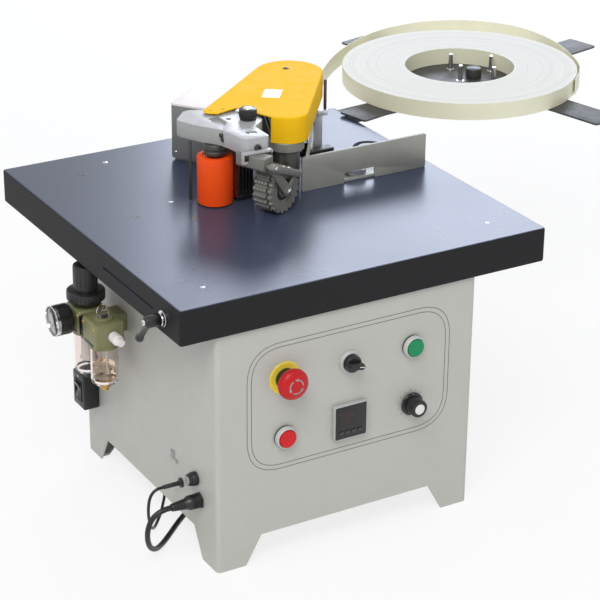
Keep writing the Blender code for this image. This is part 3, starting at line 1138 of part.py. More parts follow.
# ================================================================ tape supply
def build_tray(root):
    """Cross-shaped tape tray on its spindle, held by a flat arm off the table's right edge."""
    half = TRAY_ARM_WIDTH / 2
    cross = box("tape_tray", (-TRAY_REACH, -half, -TRAY_PLATE), (TRAY_REACH, half, 0))
    for vertex in cross.data.vertices:
        vertex.co += cross.location
    cross.location = (TRAY_X, TRAY_Y, TRAY_TOP)
    cross.rotation_euler = (0, 0, TRAY_TURN)
    finish(cross, charcoal_paint(), root)
    other = box("tray_arms", (-half, -TRAY_REACH, -TRAY_PLATE), (half, TRAY_REACH, 0))
    boolean(cross, other, "UNION")
    other.parent = cross
    bore = cylinder("tray_bore", SPINDLE_RADIUS + SLIP, -TRAY_PLATE - REACH, REACH)
    boolean(cross, bore, "DIFFERENCE")
    bore.parent = cross
    for index, distance in enumerate(CORE_PINS):
        angle = index * math.pi / 2
        pin = cylinder(f"core_pin_{index}", CORE_PIN_RADIUS, -TRAY_PLATE / 2, CORE_PIN_HEIGHT,
                       (distance * math.cos(angle), distance * math.sin(angle), 0), sides=ROUND_TINY)
        boolean(cross, pin, "UNION")
        pin.parent = cross
    spindle = turned("tray_spindle", (
        (0.0, TRAY_TOP + 0.016), (0.0100, TRAY_TOP + 0.016), (0.0120, TRAY_TOP + 0.014),
        (0.0120, TRAY_TOP + 0.0010), (SPINDLE_RADIUS, TRAY_TOP + 0.0010), (SPINDLE_RADIUS, TRAY_TOP - TRAY_PLATE - GAP),
        (0.0180, TRAY_TOP - TRAY_PLATE - GAP), (0.0180, SUPPORT_TOP + GAP), (SPINDLE_RADIUS, SUPPORT_TOP + GAP),
        (SPINDLE_RADIUS, SUPPORT_TOP - SUPPORT_THICKNESS - 0.004), (0.0, SUPPORT_TOP - SUPPORT_THICKNESS - 0.004)),
        (TRAY_X, TRAY_Y, 0), (0, 0, 0), ROUND_SMALL)
    finish(spindle, plate_steel(), root)
    start = TABLE_WIDTH + GAP
    outline = [(start, TRAY_Y - 0.047)] + arc((TRAY_X, TRAY_Y), 0.020, -90, 90, 10) + [(start, TRAY_Y - 0.005)]
    arm = flat("tray_support", outline, SUPPORT_TOP - SUPPORT_THICKNESS, SUPPORT_TOP)
    finish(arm, charcoal_paint(), root)
    join(arm, box("support_flange", (start, TRAY_Y - 0.050, TABLE_BASE + 0.004),
                  (start + 0.006, TRAY_Y - 0.003, SUPPORT_TOP - 0.001)))
    cut(arm, cylinder("support_bore", SPINDLE_RADIUS + GAP, SUPPORT_TOP - 0.026, SUPPORT_TOP + 0.006, (TRAY_X, TRAY_Y, 0)))


def build_tape(root):
    """The coil of edging tape and the strand that runs off it to the head."""
    finish(ring("tape_coil", COIL_OUTER, COIL_INNER, COIL_BASE, COIL_BASE + TAPE_WIDTH,
                (COIL_X, COIL_Y, 0), sides=ROUND_COIL), tape_white(), root)
    route = [(0.8491, 0.3789), (0.8945, 0.4285), (0.9215, 0.4950), (0.9360, 0.5700), (0.9240, 0.6450),
             (0.8800, 0.7010), (0.8150, 0.7300), (0.7460, 0.7300), (0.6907, 0.7125), (0.6400, 0.6830),
             (0.5930, 0.6470), (0.5470, 0.6000), (0.5000, 0.5400), (0.4605, 0.4780), (0.4030, 0.3900),
             (0.3550, 0.3180), (0.3215, 0.2700)]
    line = smooth_route([(x, y, 0.0) for x, y in route], 0.014)
    left = []
    right = []
    for before, here, after in zip([line[0]] + line, line, line[1:] + [line[-1]]):
        along = (after - before).normalized()
        across = Vector((-along.y, along.x, 0)) * (TAPE_THICKNESS / 2)
        left.append(((here + across).x, (here + across).y))
        right.append(((here - across).x, (here - across).y))
    strand = flat("tape_strand", left + right[::-1], STRAND_BASE, STRAND_BASE + TAPE_WIDTH)
    finish(strand, tape_white(), root)


def build_tape_guide(root):
    """Upright tape guide behind the fence: bracket, tall rod, short pin and thumbscrew."""
    floor = TABLE_HEIGHT + GAP
    bracket = box("tape_guide", (GUIDE_X, GUIDE_Y, floor), (GUIDE_X + GUIDE_WIDTH, GUIDE_Y + 0.003,
                                                            TABLE_HEIGHT + GUIDE_HEIGHT))
    finish(bracket, steel(), root)
    join(bracket,
         box("guide_foot", (0.3800, GUIDE_Y - 0.018, floor), (0.4300, GUIDE_Y + 0.006, floor + 0.004)),
         box("guide_head", (GUIDE_X + 0.004, GUIDE_Y - 0.002, TABLE_HEIGHT + GUIDE_HEIGHT - 0.006),
             (GUIDE_X + GUIDE_WIDTH + 0.0075, GUIDE_Y + 0.006, TABLE_HEIGHT + GUIDE_HEIGHT + 0.002)))
    rod_top = TABLE_HEIGHT + 0.0985
    join(bracket,
         cylinder("guide_rod", 0.0022, TABLE_HEIGHT + GUIDE_HEIGHT, rod_top,
                  (GUIDE_X + GUIDE_WIDTH + 0.0040, GUIDE_Y + 0.0005, 0), sides=ROUND_TINY),
         cylinder("guide_pin", 0.0012, floor + 0.002, TABLE_HEIGHT + 0.060, (0.3960, GUIDE_Y, 0), sides=12),
         cylinder("guide_thumbscrew", 0.0055, floor + 0.002, floor + 0.017, (0.3870, GUIDE_Y - 0.010, 0), sides=ROUND_SMALL))


# ================================================================ inside the cabinet
def build_inside(root):
    """Speed drive standing on the cabinet's floor."""
    floor = SHELF_HEIGHT + SHELF_THICKNESS + GAP
    finish(box("speed_drive", (0.120, 0.150, floor), (0.240, 0.240, floor + 0.060), 0.002),
           material("drive_grey", (0.25, 0.26, 0.27), 0.50), root)


# ================================================================ cords
def build_cord(root, name, route, diameter, coil_at, coil):
    """A lead's free stretch and the ring that its coiled length fills."""
    line = smooth_route(route, diameter * 3)
    finish(tube(f"{name}_lead", line, diameter / 2), black_plastic(), root)
    radius, half, height = coil
    finish(ring(f"{name}_coil", radius + half, radius - half, GAP, GAP + height,
                (coil_at[0], coil_at[1], 0), sides=ROUND_LARGE), black_plastic(), root)


def build_cords(root):
    """Mains lead with its plug and the foot-switch lead with its connector."""
    build_cord(root, "mains", MAINS_ROUTE, MAINS_DIAMETER, MAINS_COIL_AT,
               (MAINS_COIL_RADIUS, MAINS_COIL_HALF, MAINS_COIL_HEIGHT))
    build_cord(root, "signal", SIGNAL_ROUTE, SIGNAL_DIAMETER, SIGNAL_COIL_AT,
               (SIGNAL_COIL_RADIUS, SIGNAL_COIL_HALF, SIGNAL_COIL_HEIGHT))
    plug = turned("mains_plug", (
        (0.0, 0.0220), (0.0120, 0.0220), (0.0135, 0.0200), (0.0135, 0.0020), (0.0070, -0.0140), (0.0050, -0.0220),
        (0.0, -0.0220)), MAINS_PLUG_AT, TO_RIGHT, ROUND_SMALL)
    finish(plug, black_plastic(), root)
    connector = turned("signal_connector", (
        (0.0, 0.0160), (0.0070, 0.0160), (0.0078, 0.0150), (0.0078, 0.0), (0.0035, -0.0100), (0.0, -0.0100)),
        SIGNAL_CONNECTOR_AT, TO_RIGHT, ROUND_SMALL)
    finish(connector, plate_steel(), root)


CORD_NODES = ("mains_lead", "mains_coil", "mains_plug", "signal_lead", "signal_coil", "signal_connector")


def centre_footprint(root):
    """Move the root so that the machine without its leads is centred over the origin."""
    bpy.context.view_layer.update()
    graph = bpy.context.evaluated_depsgraph_get()
    low = Vector((1e9, 1e9, 1e9))
    high = -low
    for obj in PARTS.objects:
        if obj.name in CORD_NODES or obj.type == "EMPTY":
            continue
        evaluated = obj.evaluated_get(graph)
        mesh = evaluated.to_mesh()
        for vertex in mesh.vertices:
            point = evaluated.matrix_world @ vertex.co
            low = Vector(map(min, low, point))
            high = Vector(map(max, high, point))
        evaluated.to_mesh_clear()
    root.location = (-(low.x + high.x) / 2, -(low.y + high.y) / 2, -low.z)


def main():
    clear_scene()
    root = bpy.data.objects.new("machine_root", None)
    PARTS.objects.link(root)
    build_cabinet(root)
    build_rear_panel(root)
    build_shelf(root)
    build_table(root)
    build_emergency_stop(root)
    build_push_button(root, "stop_button", COLUMN_LEFT, ROW_LOW, (0.60, 0.02, 0.02))
    build_push_button(root, "start_button", COLUMN_RIGHT, ROW_HIGH, (0.02, 0.30, 0.12))
    build_selector(root)
    build_controller(root)
    build_speed_dial(root)
    build_side_fittings(root)
    build_power_switch(root)
    build_clamp_lever(root)
    build_air_unit(root)
    build_fence(root)
    build_pressing_arm(root)
    build_press_roller(root)
    build_feed_wheel(root)
    build_cutter(root)
    build_cover(root)
    build_drive(root)
    build_glue_unit(root)
    build_tray(root)
    build_tape(root)
    build_tape_guide(root)
    build_inside(root)
    build_cords(root)
    centre_footprint(root)


main()
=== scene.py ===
"""Bench edge banding machine: visible pieces, finishes, leads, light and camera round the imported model."""
import logging
import math
from dataclasses import dataclass, field
from enum import Enum
from typing import Any, Iterable, Optional, Sequence, Union

import bmesh
import bpy
from mathutils import Matrix, Vector


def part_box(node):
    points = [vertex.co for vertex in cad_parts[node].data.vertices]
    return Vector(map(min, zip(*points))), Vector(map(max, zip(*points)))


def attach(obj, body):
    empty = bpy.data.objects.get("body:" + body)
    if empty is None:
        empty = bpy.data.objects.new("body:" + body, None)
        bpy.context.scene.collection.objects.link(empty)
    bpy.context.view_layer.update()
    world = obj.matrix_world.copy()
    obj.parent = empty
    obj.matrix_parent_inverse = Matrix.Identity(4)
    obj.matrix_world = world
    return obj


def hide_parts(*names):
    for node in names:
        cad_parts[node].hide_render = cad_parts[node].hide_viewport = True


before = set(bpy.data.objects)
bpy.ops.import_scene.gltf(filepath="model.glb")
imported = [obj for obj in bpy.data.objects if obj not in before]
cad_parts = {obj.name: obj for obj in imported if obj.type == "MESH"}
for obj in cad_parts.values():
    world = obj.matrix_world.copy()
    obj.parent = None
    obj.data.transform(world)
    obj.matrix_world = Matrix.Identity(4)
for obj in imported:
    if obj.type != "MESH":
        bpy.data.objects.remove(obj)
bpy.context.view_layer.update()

LOG = logging.getLogger("edge_bander")
Point = tuple[float, float, float]
Outline = Sequence[tuple[float, float]]

TABLE_LOW, TABLE_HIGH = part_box("table_top")
CORNER = Vector((TABLE_LOW[0], TABLE_LOW[1], 0.0))   # floor point under the table's front left corner
FRONT_Y = 0.005                                      # cabinet's front and left faces, from that corner
LEFT_X = 0.0486
GAP = 0.0003


# ================================================================ shader maths
class Val:
    """A number socket that can be used in a Python expression."""

    def __init__(self, kit: "Kit", socket: Any) -> None:
        self.kit = kit
        self.socket = socket

    def _math(self, operation: str, *values: Any) -> "Val":
        """A Math node on some values.

        Args:
            operation: the Math node's operation.
            values: numbers or other wrapped sockets.

        Returns:
            The node's result.
        """
        return Val(self.kit, self.kit.node("ShaderNodeMath", {"operation": operation},
            dict(enumerate(values))).outputs[0])

    def __add__(self, other: Any) -> "Val":
        """Sum."""
        return self._math("ADD", self, other)

    def __radd__(self, other: Any) -> "Val":
        """Sum, reflected."""
        return self._math("ADD", other, self)

    def __sub__(self, other: Any) -> "Val":
        """Difference."""
        return self._math("SUBTRACT", self, other)

    def __rsub__(self, other: Any) -> "Val":
        """Difference, reflected."""
        return self._math("SUBTRACT", other, self)

    def __mul__(self, other: Any) -> "Val":
        """Product."""
        return self._math("MULTIPLY", self, other)

    def __rmul__(self, other: Any) -> "Val":
        """Product, reflected."""
        return self._math("MULTIPLY", other, self)

    def ramp(self, low: float, high: float, to_low: float = 0.0, to_high: float = 1.0) -> "Val":
        """A smooth step from one range to another.

        Args:
            low: value where the step starts.
            high: value where it ends.
            to_low: result at the start.
            to_high: result at the end.

        Returns:
            The stepped value.
        """
        node = self.kit.node("ShaderNodeMapRange", {"interpolation_type": "SMOOTHSTEP"},
            {"Value": self, "From Min": low, "From Max": high, "To Min": to_low, "To Max": to_high})
        return Val(self.kit, node.outputs["Result"])


class Kit:
    """A material's node tree, with one method that makes every node."""

    def __init__(self, name: str) -> None:
        """Start a material that holds a Principled shader."""
        self.material = bpy.data.materials.new(name)
        self.material.use_nodes = True
        self.tree = self.material.node_tree
        self.shader = self.tree.nodes["Principled BSDF"]
        self.output = self.tree.nodes["Material Output"]

    def node(self, kind: str, settings: Optional[dict[str, Any]] = None,
            sockets: Optional[dict[Any, Any]] = None) -> Any:
        """Make a node.

        Args:
            kind: the node's type.
            settings: its own properties, set first; "stops" fills a colour ramp.
            sockets: values or links for its inputs, by name or number.

        Returns:
            The node.
        """
        made = self.tree.nodes.new(kind)
        for key, value in (settings or {}).items():
            if key == "stops":
                for element, (place, shade) in zip(made.color_ramp.elements, value):
                    element.position = place
                    element.color = (*shade, 1.0)
            else:
                setattr(made, key, value)
        for key, value in (sockets or {}).items():
            self.feed(made.inputs[key], value)
        return made

    def feed(self, socket: Any, value: Any) -> None:
        """Set or link one input socket.

        Args:
            socket: the input.
            value: a number, a colour, a wrapped socket or an output socket.
        """
        if isinstance(value, Val):
            self.tree.links.new(value.socket, socket)
        elif isinstance(value, bpy.types.NodeSocket):
            self.tree.links.new(value, socket)
        elif isinstance(value, tuple) and len(value) == 3 and socket.type == "RGBA":
            socket.default_value = (*value, 1.0)
        else:
            socket.default_value = value

    def set(self, **values: Any) -> None:
        """Feed the Principled shader's sockets, with _ for a space in their names."""
        for key, value in values.items():
            self.feed(self.shader.inputs[key.replace("_", " ")], value)

    def where(self, scale: Point = (1, 1, 1), centre: Point = (0, 0, 0), turn: Point = (0, 0, 0)) -> Any:
        """Object coordinates, moved to a centre, turned and scaled.

        Args:
            scale: factor along each axis.
            centre: point that becomes the pattern's origin.
            turn: angles, in radians.

        Returns:
            The vector output.
        """
        moved = self.node("ShaderNodeMapping", {"vector_type": "POINT"},
            {"Vector": self.node("ShaderNodeTexCoord").outputs["Object"],
            "Location": tuple(-c for c in centre)}).outputs[0]
        return self.node("ShaderNodeMapping", {"vector_type": "POINT"}, {"Vector": moved,
            "Rotation": turn, "Scale": scale}).outputs[0]

    def noise(self, scale: float, detail: float = 3.0, roughness: float = 0.55,
            vector: Any = None) -> Val:
        """Fractal noise on object coordinates."""
        return Val(self, self.node("ShaderNodeTexNoise", None, {"Vector": vector or self.where(),
            "Scale": scale, "Detail": detail, "Roughness": roughness}).outputs["Fac"])

    def mix(self, factor: Any, first: Any, second: Any) -> Any:
        """A colour between two colours."""
        node = self.node("ShaderNodeMix", {"data_type": "RGBA"})
        self.feed(node.inputs[0], factor)
        self.feed(node.inputs[6], first)
        self.feed(node.inputs[7], second)
        return node.outputs[2]

    def bump(self, height: Val, strength: float, distance: float, normal: Any = None) -> Any:
        """A Bump node's normal."""
        sockets = {"Height": height, "Strength": strength, "Distance": distance}
        if normal is not None:
            sockets["Normal"] = normal
        return self.node("ShaderNodeBump", None, sockets).outputs[0]


def srgb(red: int, green: int, blue: int) -> tuple[float, float, float]:
    """Linear colour of three display values from 0 to 255."""
    return tuple((c / 255 / 12.92) if c <= 10 else ((c / 255 + 0.055) / 1.055) ** 2.4 for c in (red,
        green, blue))


def shade(colour: Sequence[float], factor: float) -> tuple[float, float, float]:
    """A colour made lighter or darker."""
    return tuple(min(1.0, c * factor) for c in colour)


# ================================================================ finishes
class Grain(Enum):
    """How a surface was worked."""

    MOULDED = "moulded"
    PEEL = "orange peel"
    CAST = "cast"
    BRUSHED = "brushed"
    TURNED = "turned"
    POLISHED = "polished"


@dataclass(frozen=True)
class Finish:
    """A finish: its colour, gloss and the fine texture of its surface."""

    name: str
    colour: tuple[float, float, float]
    roughness: float = 0.45
    metallic: float = 0.0
    grain: Grain = Grain.MOULDED
    mottle: float = 0.05
    coat: float = 0.0
    dirt: float = 0.0
    specular: float = 0.5
    made: dict = field(default_factory=dict, compare=False, hash=False)

    def surface(self, kit: Kit) -> tuple[Val, float]:
        """The height that the grain gives, and its depth in metres."""
        if self.grain is Grain.PEEL:
            return kit.noise(420.0, 2.0) + kit.noise(1400.0, 1.0) * 0.35, 0.0001
        if self.grain is Grain.CAST:
            return kit.noise(900.0, 4.0, 0.65) + kit.noise(140.0, 2.0) * 0.5, 0.0003
        if self.grain is Grain.BRUSHED:
            return kit.noise(160.0, 4.0, 0.7, kit.where((1.0, 26.0, 26.0))), 0.00006
        if self.grain is Grain.TURNED:
            return kit.noise(150.0, 3.0, 0.6, kit.where((1.0, 1.0, 22.0))), 0.00005
        if self.grain is Grain.POLISHED:
            return kit.noise(60.0, 2.0), 0.00002
        return kit.noise(1700.0, 3.0, 0.6), 0.00006

    def build(self) -> Kit:
        """The node tree: mottled colour, uneven gloss and a fine bump."""
        kit = Kit(self.name)
        cloud = kit.noise(28.0, 5.0, 0.6).ramp(0.3, 0.7)
        fleck = kit.noise(650.0, 2.0).ramp(0.56, 0.72)
        tint = kit.mix(cloud, shade(self.colour, 1.0 - self.mottle), shade(self.colour,
            1.0 + self.mottle))
        tint = kit.mix(fleck * 0.35, tint, shade(self.colour, 1.0 - 2.2 * self.mottle))
        if self.dirt:
            grime = kit.noise(70.0, 6.0, 0.7).ramp(0.52, 0.8)
            tint = kit.mix(grime * self.dirt, tint, srgb(96, 84, 66))
        height, depth = self.surface(kit)
        rough = kit.noise(45.0, 4.0).ramp(0.2, 0.8, max(0.02, self.roughness - 0.07),
            min(1.0, self.roughness + 0.07))
        kit.set(Base_Color=tint, Roughness=rough, Metallic=self.metallic, Coat_Weight=self.coat,
            Coat_Roughness=0.12, Specular_IOR_Level=self.specular, Normal=kit.bump(height, 0.6, depth))
        return kit

    def material(self) -> Any:
        """The material, built once."""
        if "m" not in self.made:
            self.made["m"] = self.build().material
        return self.made["m"]


@dataclass(frozen=True)
class Laminate(Finish):
    """Slate laminate on top with a black moulded edge round the sides."""

    edge: tuple[float, float, float] = srgb(22, 22, 25)

    def build(self) -> Kit:
        """Top and edge told apart by the way the surface faces."""
        kit = super().build()
        up = Val(kit, kit.node("ShaderNodeSeparateXYZ", None,
            {0: kit.node("ShaderNodeNewGeometry").outputs["True Normal"]}).outputs[2]).ramp(0.85, 0.97)
        pores = kit.noise(2600.0, 2.0).ramp(0.45, 0.62)
        top = kit.mix(kit.noise(5.0, 3.0), shade(self.colour, 0.95), shade(self.colour, 1.05))
        top = kit.mix(pores * 0.2, top, shade(self.colour, 0.75))
        side = kit.mix(kit.noise(60.0, 4.0), shade(self.edge, 0.85), shade(self.edge, 1.15))
        kit.set(Base_Color=kit.mix(up, side, top), Normal=kit.bump(kit.noise(1500.0, 2.0), 0.2, 0.00004),
            Roughness=up * kit.noise(6.0, 3.0).ramp(0.25, 0.75, 0.27, 0.3) + (1 - up) * 0.62,
            Specular_IOR_Level=0.28)
        return kit


@dataclass(frozen=True)
class TapeCoil(Finish):
    """Wound edging: fine rings on the coil's flat side, plain cream on its faces."""

    centre: Point = (0, 0, 0)

    def build(self) -> Kit:
        """Rings by distance from the coil's axis, seen only on faces that look up or down."""
        kit = super().build()
        spread = kit.node("ShaderNodeSeparateXYZ", None, {0: kit.where(centre=self.centre)})
        x, y = Val(kit, spread.outputs[0]), Val(kit, spread.outputs[1])
        radius = Val(kit, kit.node("ShaderNodeMath", {"operation": "POWER"}, {0: x * x + y * y,
            1: 0.5}).outputs[0])
        rings = kit.node("ShaderNodeTexNoise", {"noise_dimensions": "1D"}, {"W": radius * 1.0,
            "Scale": 700.0, "Detail": 2.0})
        turns = Val(kit, rings.outputs["Fac"]).ramp(0.35, 0.65)
        broad = kit.node("ShaderNodeTexNoise", {"noise_dimensions": "1D"}, {"W": radius * 1.0,
            "Scale": 90.0, "Detail": 2.0})
        bands = Val(kit, broad.outputs["Fac"]).ramp(0.3, 0.7)
        up = Val(kit, kit.node("ShaderNodeSeparateXYZ", None,
            {0: kit.node("ShaderNodeNewGeometry").outputs["True Normal"]}).outputs[2])
        flat = (up * up).ramp(0.6, 0.9)
        top = kit.mix(turns, srgb(192, 191, 182), srgb(226, 225, 216))
        top = kit.mix(bands * 0.5, top, srgb(219, 218, 210))
        face = kit.mix(kit.noise(30.0, 3.0), shade(self.colour, 0.93), shade(self.colour, 1.05))
        kit.set(Base_Color=kit.mix(flat, face, top), Roughness=0.42 + flat * 0.14,
            Normal=kit.bump(turns * flat, 0.5, 0.0002))
        return kit


@dataclass(frozen=True)
class Clear(Finish):
    """Clear moulded plastic or glass."""

    through: float = 1.0

    def build(self) -> Kit:
        """A transmitting shader with faint flow marks."""
        kit = Kit(self.name)
        waves = kit.noise(60.0, 3.0, 0.5, kit.where((1, 1, 0.35)))
        kit.set(Base_Color=kit.mix(waves, shade(self.colour, 0.96), self.colour),
            Roughness=self.roughness, Transmission_Weight=self.through, IOR=1.25, Normal=kit.bump(waves,
            0.12, 0.0004))
        return kit


@dataclass(frozen=True)
class DialFace(Finish):
    """A pressure gauge's face: white card with a ring of scale marks."""

    centre: Point = (0, 0, 0)
    radius: float = 0.017

    def build(self) -> Kit:
        """Marks by angle and distance round the gauge's axis, which runs along X."""
        kit = super().build()
        spread = kit.node("ShaderNodeSeparateXYZ", None, {0: kit.where(centre=self.centre)})
        y, z = Val(kit, spread.outputs[1]), Val(kit, spread.outputs[2])
        radius = Val(kit, kit.node("ShaderNodeMath", {"operation": "POWER"}, {0: y * y + z * z,
            1: 0.5}).outputs[0])
        angle = Val(kit, kit.node("ShaderNodeMath", {"operation": "ARCTAN2"}, {0: y, 1: z}).outputs[0])
        wave = Val(kit, kit.node("ShaderNodeMath", {"operation": "COSINE"},
            {0: angle * 30.0}).outputs[0]).ramp(0.55, 0.75)
        long_wave = Val(kit, kit.node("ShaderNodeMath", {"operation": "COSINE"},
            {0: angle * 6.0}).outputs[0]).ramp(0.9, 0.96)
        band = (radius * (1 / self.radius)).ramp(0.7, 0.73) * (1 - (radius * (1 / self.radius)).ramp(0.82,
            0.85))
        inner = (radius * (1 / self.radius)).ramp(0.56, 0.59) * (1
            - (radius * (1 / self.radius)).ramp(0.82, 0.85))
        open_side = z.ramp(-self.radius * 0.62, -self.radius * 0.58)
        ink = band * wave * open_side + inner * long_wave * open_side
        kit.set(Base_Color=kit.mix(ink.ramp(0.1, 0.6), self.colour, srgb(30, 30, 34)), Roughness=0.4)
        return kit


# ================================================================ forms
class Facing(Enum):
    """Where a form's own Z points once it is placed."""

    UP = "up"
    FRONT = "front"
    LEFT = "left"
    BACK = "back"
    RIGHT = "right"

    def turn(self) -> Matrix:
        """The rotation that faces a form this way."""
        quarter = math.pi / 2
        return {Facing.UP: Matrix.Identity(4), Facing.FRONT: Matrix.Rotation(quarter, 4, "X"),
            Facing.LEFT: Matrix.Rotation(-quarter, 4, "Y"), Facing.BACK: Matrix.Rotation(-quarter, 4,
            "X"), Facing.RIGHT: Matrix.Rotation(quarter, 4, "Y")}[self]


def spot(x: float, y: float, z: float, facing: Facing = Facing.UP, spin: float = 0.0) -> Matrix:
    """A place on the machine, measured from the table's front left corner at floor level.

    Args:
        x: metres to the right.
        y: metres to the back.
        z: metres up.
        facing: where the form's Z points.
        spin: turn about the form's own Z, in radians.

    Returns:
        The matrix that carries a form there.
    """
    return Matrix.Translation(CORNER + Vector((x, y, z))) @ facing.turn() @ Matrix.Rotation(spin, 4, "Z")


def arc(centre: tuple[float, float], radius: float, start: float, end: float,
        steps: int) -> list[tuple[float, float]]:
    """Points along an arc, its angles in degrees."""
    return [(centre[0] + radius * math.cos(math.radians(start + (end - start) * i / steps)),
        centre[1] + radius * math.sin(math.radians(start + (end - start) * i / steps)))
        for i in range(steps + 1)]


def rounded(points: Outline, radii: Union[float, Sequence[float]], steps: int = 6) -> list[tuple[float,
        float]]:
    """A polygon with rounded corners.

    Args:
        points: corners in order.
        radii: one radius, or one for each corner.
        steps: arc steps at each corner.

    Returns:
        The rounded outline.
    """
    count = len(points)
    sizes = [radii] * count if isinstance(radii, (int, float)) else list(radii)
    outline: list[tuple[float, float]] = []
    for i, size in enumerate(sizes):
        here, before, after = (Vector(points[j % count]) for j in (i, i - 1, i + 1))
        one, two = (before - here), (after - here)
        if size <= 0:
            outline.append(tuple(here))
            continue
        half = one.angle(two) / 2
        reach = min(size / math.tan(half), one.length * 0.49, two.length * 0.49)
        first, last = here + one.normalized() * reach, here + two.normalized() * reach
        for step in range(steps + 1):
            t = step / steps
            outline.append(tuple(first * (1 - t) ** 2 + here * 2 * t * (1 - t) + last * t * t))
    return outline


def rectangle(width: float, height: float, radius: float = 0.0, steps: int = 6) -> list[tuple[float,
        float]]:
    """A centred rectangle with rounded corners."""
    w, h = width / 2, height / 2
    return rounded([(-w, -h), (w, -h), (w, h), (-w, h)], radius, steps)


def smooth_route(points: Sequence[Point], spacing: float) -> list[Vector]:
    """Evenly stepped points along a smooth curve through a route."""
    ends = [points[0], *points, points[-1]]
    route: list[Vector] = []
    for p, q, r, s in zip(ends, ends[1:], ends[2:], ends[3:]):
        a, b, c, d = (Vector(v) for v in (p, q, r, s))
        steps = max(1, round((c - b).length / spacing))
        for step in range(steps):
            t = step / steps
            route.append(0.5 * (2 * b + (c - a) * t + (2 * a - 5 * b + 4 * c - d) * t * t + (3 * b - a - 3
                * c + d) * t ** 3))
    route.append(Vector(points[-1]))
    return route


class Form:
    """A mesh being modelled; its methods return it, so that steps can follow each other."""

    def __init__(self, bm: Optional[bmesh.types.BMesh] = None) -> None:
        """Start empty or from a bmesh."""
        self.bm = bm or bmesh.new()

    @classmethod
    def box(cls, low: Point, high: Point, edge: float = 0.0, segments: int = 2) -> "Form":
        """A box between two corners with rounded edges."""
        form = cls()
        bmesh.ops.create_cube(form.bm, size=1.0)
        form.scale(*(b - a for a, b in zip(low, high)))
        form.move(*((a + b) / 2 for a, b in zip(low, high)))
        return form.bevel(edge, segments) if edge else form

    @classmethod
    def turned(cls, profile: Outline, steps: int = 48, edge: float = 0.0, segments: int = 2) -> "Form":
        """A turned form.

        Args:
            profile: (radius, height) pairs; both ends on the axis, or a closed ring if neither is.
            steps: faces round the axis.
            edge: rounding of its sharp edges.
            segments: steps of that rounding.

        Returns:
            The form, its axis on Z.
        """
        form = cls()
        verts = [form.bm.verts.new((r, 0.0, z)) for r, z in profile]
        edges = [form.bm.edges.new(pair) for pair in zip(verts, verts[1:])]
        if profile[0][0] > 1e-7 and profile[-1][0] > 1e-7:
            edges.append(form.bm.edges.new((verts[-1], verts[0])))
        bmesh.ops.spin(form.bm, geom=verts + edges, cent=(0, 0, 0), axis=(0, 0, 1), angle=2 * math.pi,
            steps=steps, use_merge=True)
        bmesh.ops.remove_doubles(form.bm, verts=form.bm.verts, dist=1e-6)
        bmesh.ops.recalc_face_normals(form.bm, faces=form.bm.faces)
        return form.bevel(edge, segments) if edge else form

    @classmethod
    def drum(cls, radius: float, low: float, high: float, edge: float = 0.0, steps: int = 48) -> "Form":
        """A plain turned drum."""
        return cls.turned([(0, high), (radius, high), (radius, low), (0, low)], steps, edge)

    @classmethod
    def ring(cls, outer: float, inner: float, low: float, high: float, edge: float = 0.0,
            steps: int = 48) -> "Form":
        """A plain turned ring."""
        return cls.turned([(outer, high), (outer, low), (inner, low), (inner, high)], steps, edge)

    @classmethod
    def plate(cls, outline: Outline, low: float, high: float, edge: float = 0.0, segments: int = 2,
            hollow: float = 0.0) -> "Form":
        """A flat outline given a thickness.

        Args:
            outline: corners in order.
            low: lower face's height.
            high: upper face's height.
            edge: rounding of the rims.
            segments: steps of that rounding.
            hollow: width of the band that is left when the middle is cut out, or 0.

        Returns:
            The form.
        """
        form = cls()
        face = form.bm.faces.new([form.bm.verts.new((x, y, low)) for x, y in outline])
        face.normal_update()
        if hollow:
            bmesh.ops.inset_region(form.bm, faces=[face], thickness=hollow, use_even_offset=True,
                use_boundary=True)
            bmesh.ops.delete(form.bm, geom=[face], context="FACES")
        made = bmesh.ops.extrude_face_region(form.bm, geom=form.bm.faces[:])
        bmesh.ops.translate(form.bm, vec=(0, 0, high - low), verts=[v for v in made["geom"]
            if isinstance(v, bmesh.types.BMVert)])
        bmesh.ops.recalc_face_normals(form.bm, faces=form.bm.faces)
        return form.bevel(edge, segments) if edge else form

    def bevel(self, width: float, segments: int = 2, angle: float = 28.0) -> "Form":
        """Round every edge sharper than an angle."""
        limit = math.radians(angle)
        edges = [e for e in self.bm.edges if len(e.link_faces) == 2 and e.calc_face_angle(0) > limit]
        bmesh.ops.bevel(self.bm, geom=edges, offset=width, offset_type="OFFSET", segments=segments,
            profile=0.5, affect="EDGES", clamp_overlap=True, material=-1)
        return self

    def move(self, x: float = 0.0, y: float = 0.0, z: float = 0.0) -> "Form":
        """Move the form."""
        bmesh.ops.translate(self.bm, vec=(x, y, z), verts=self.bm.verts)
        return self

    def scale(self, x: float = 1.0, y: float = 1.0, z: float = 1.0) -> "Form":
        """Scale the form about its origin."""
        bmesh.ops.scale(self.bm, vec=(x, y, z), verts=self.bm.verts)
        return self

    def turn(self, angle: float, axis: str = "Z", centre: Point = (0, 0, 0)) -> "Form":
        """Turn the form about an axis, in degrees."""
        bmesh.ops.rotate(self.bm, cent=centre, matrix=Matrix.Rotation(math.radians(angle), 3, axis),
            verts=self.bm.verts)
        return self

    def put(self, matrix: Matrix) -> "Form":
        """Carry the form to a place."""
        bmesh.ops.transform(self.bm, matrix=matrix, verts=self.bm.verts)
        return self

    def copy(self) -> "Form":
        """A separate copy."""
        return Form(self.bm.copy())

    def add(self, *others: "Form") -> "Form":
        """Take other forms' meshes into this one."""
        for other in others:
            mesh = bpy.data.meshes.new("part")
            other.bm.to_mesh(mesh)
            self.bm.from_mesh(mesh)
            bpy.data.meshes.remove(mesh)
        return self

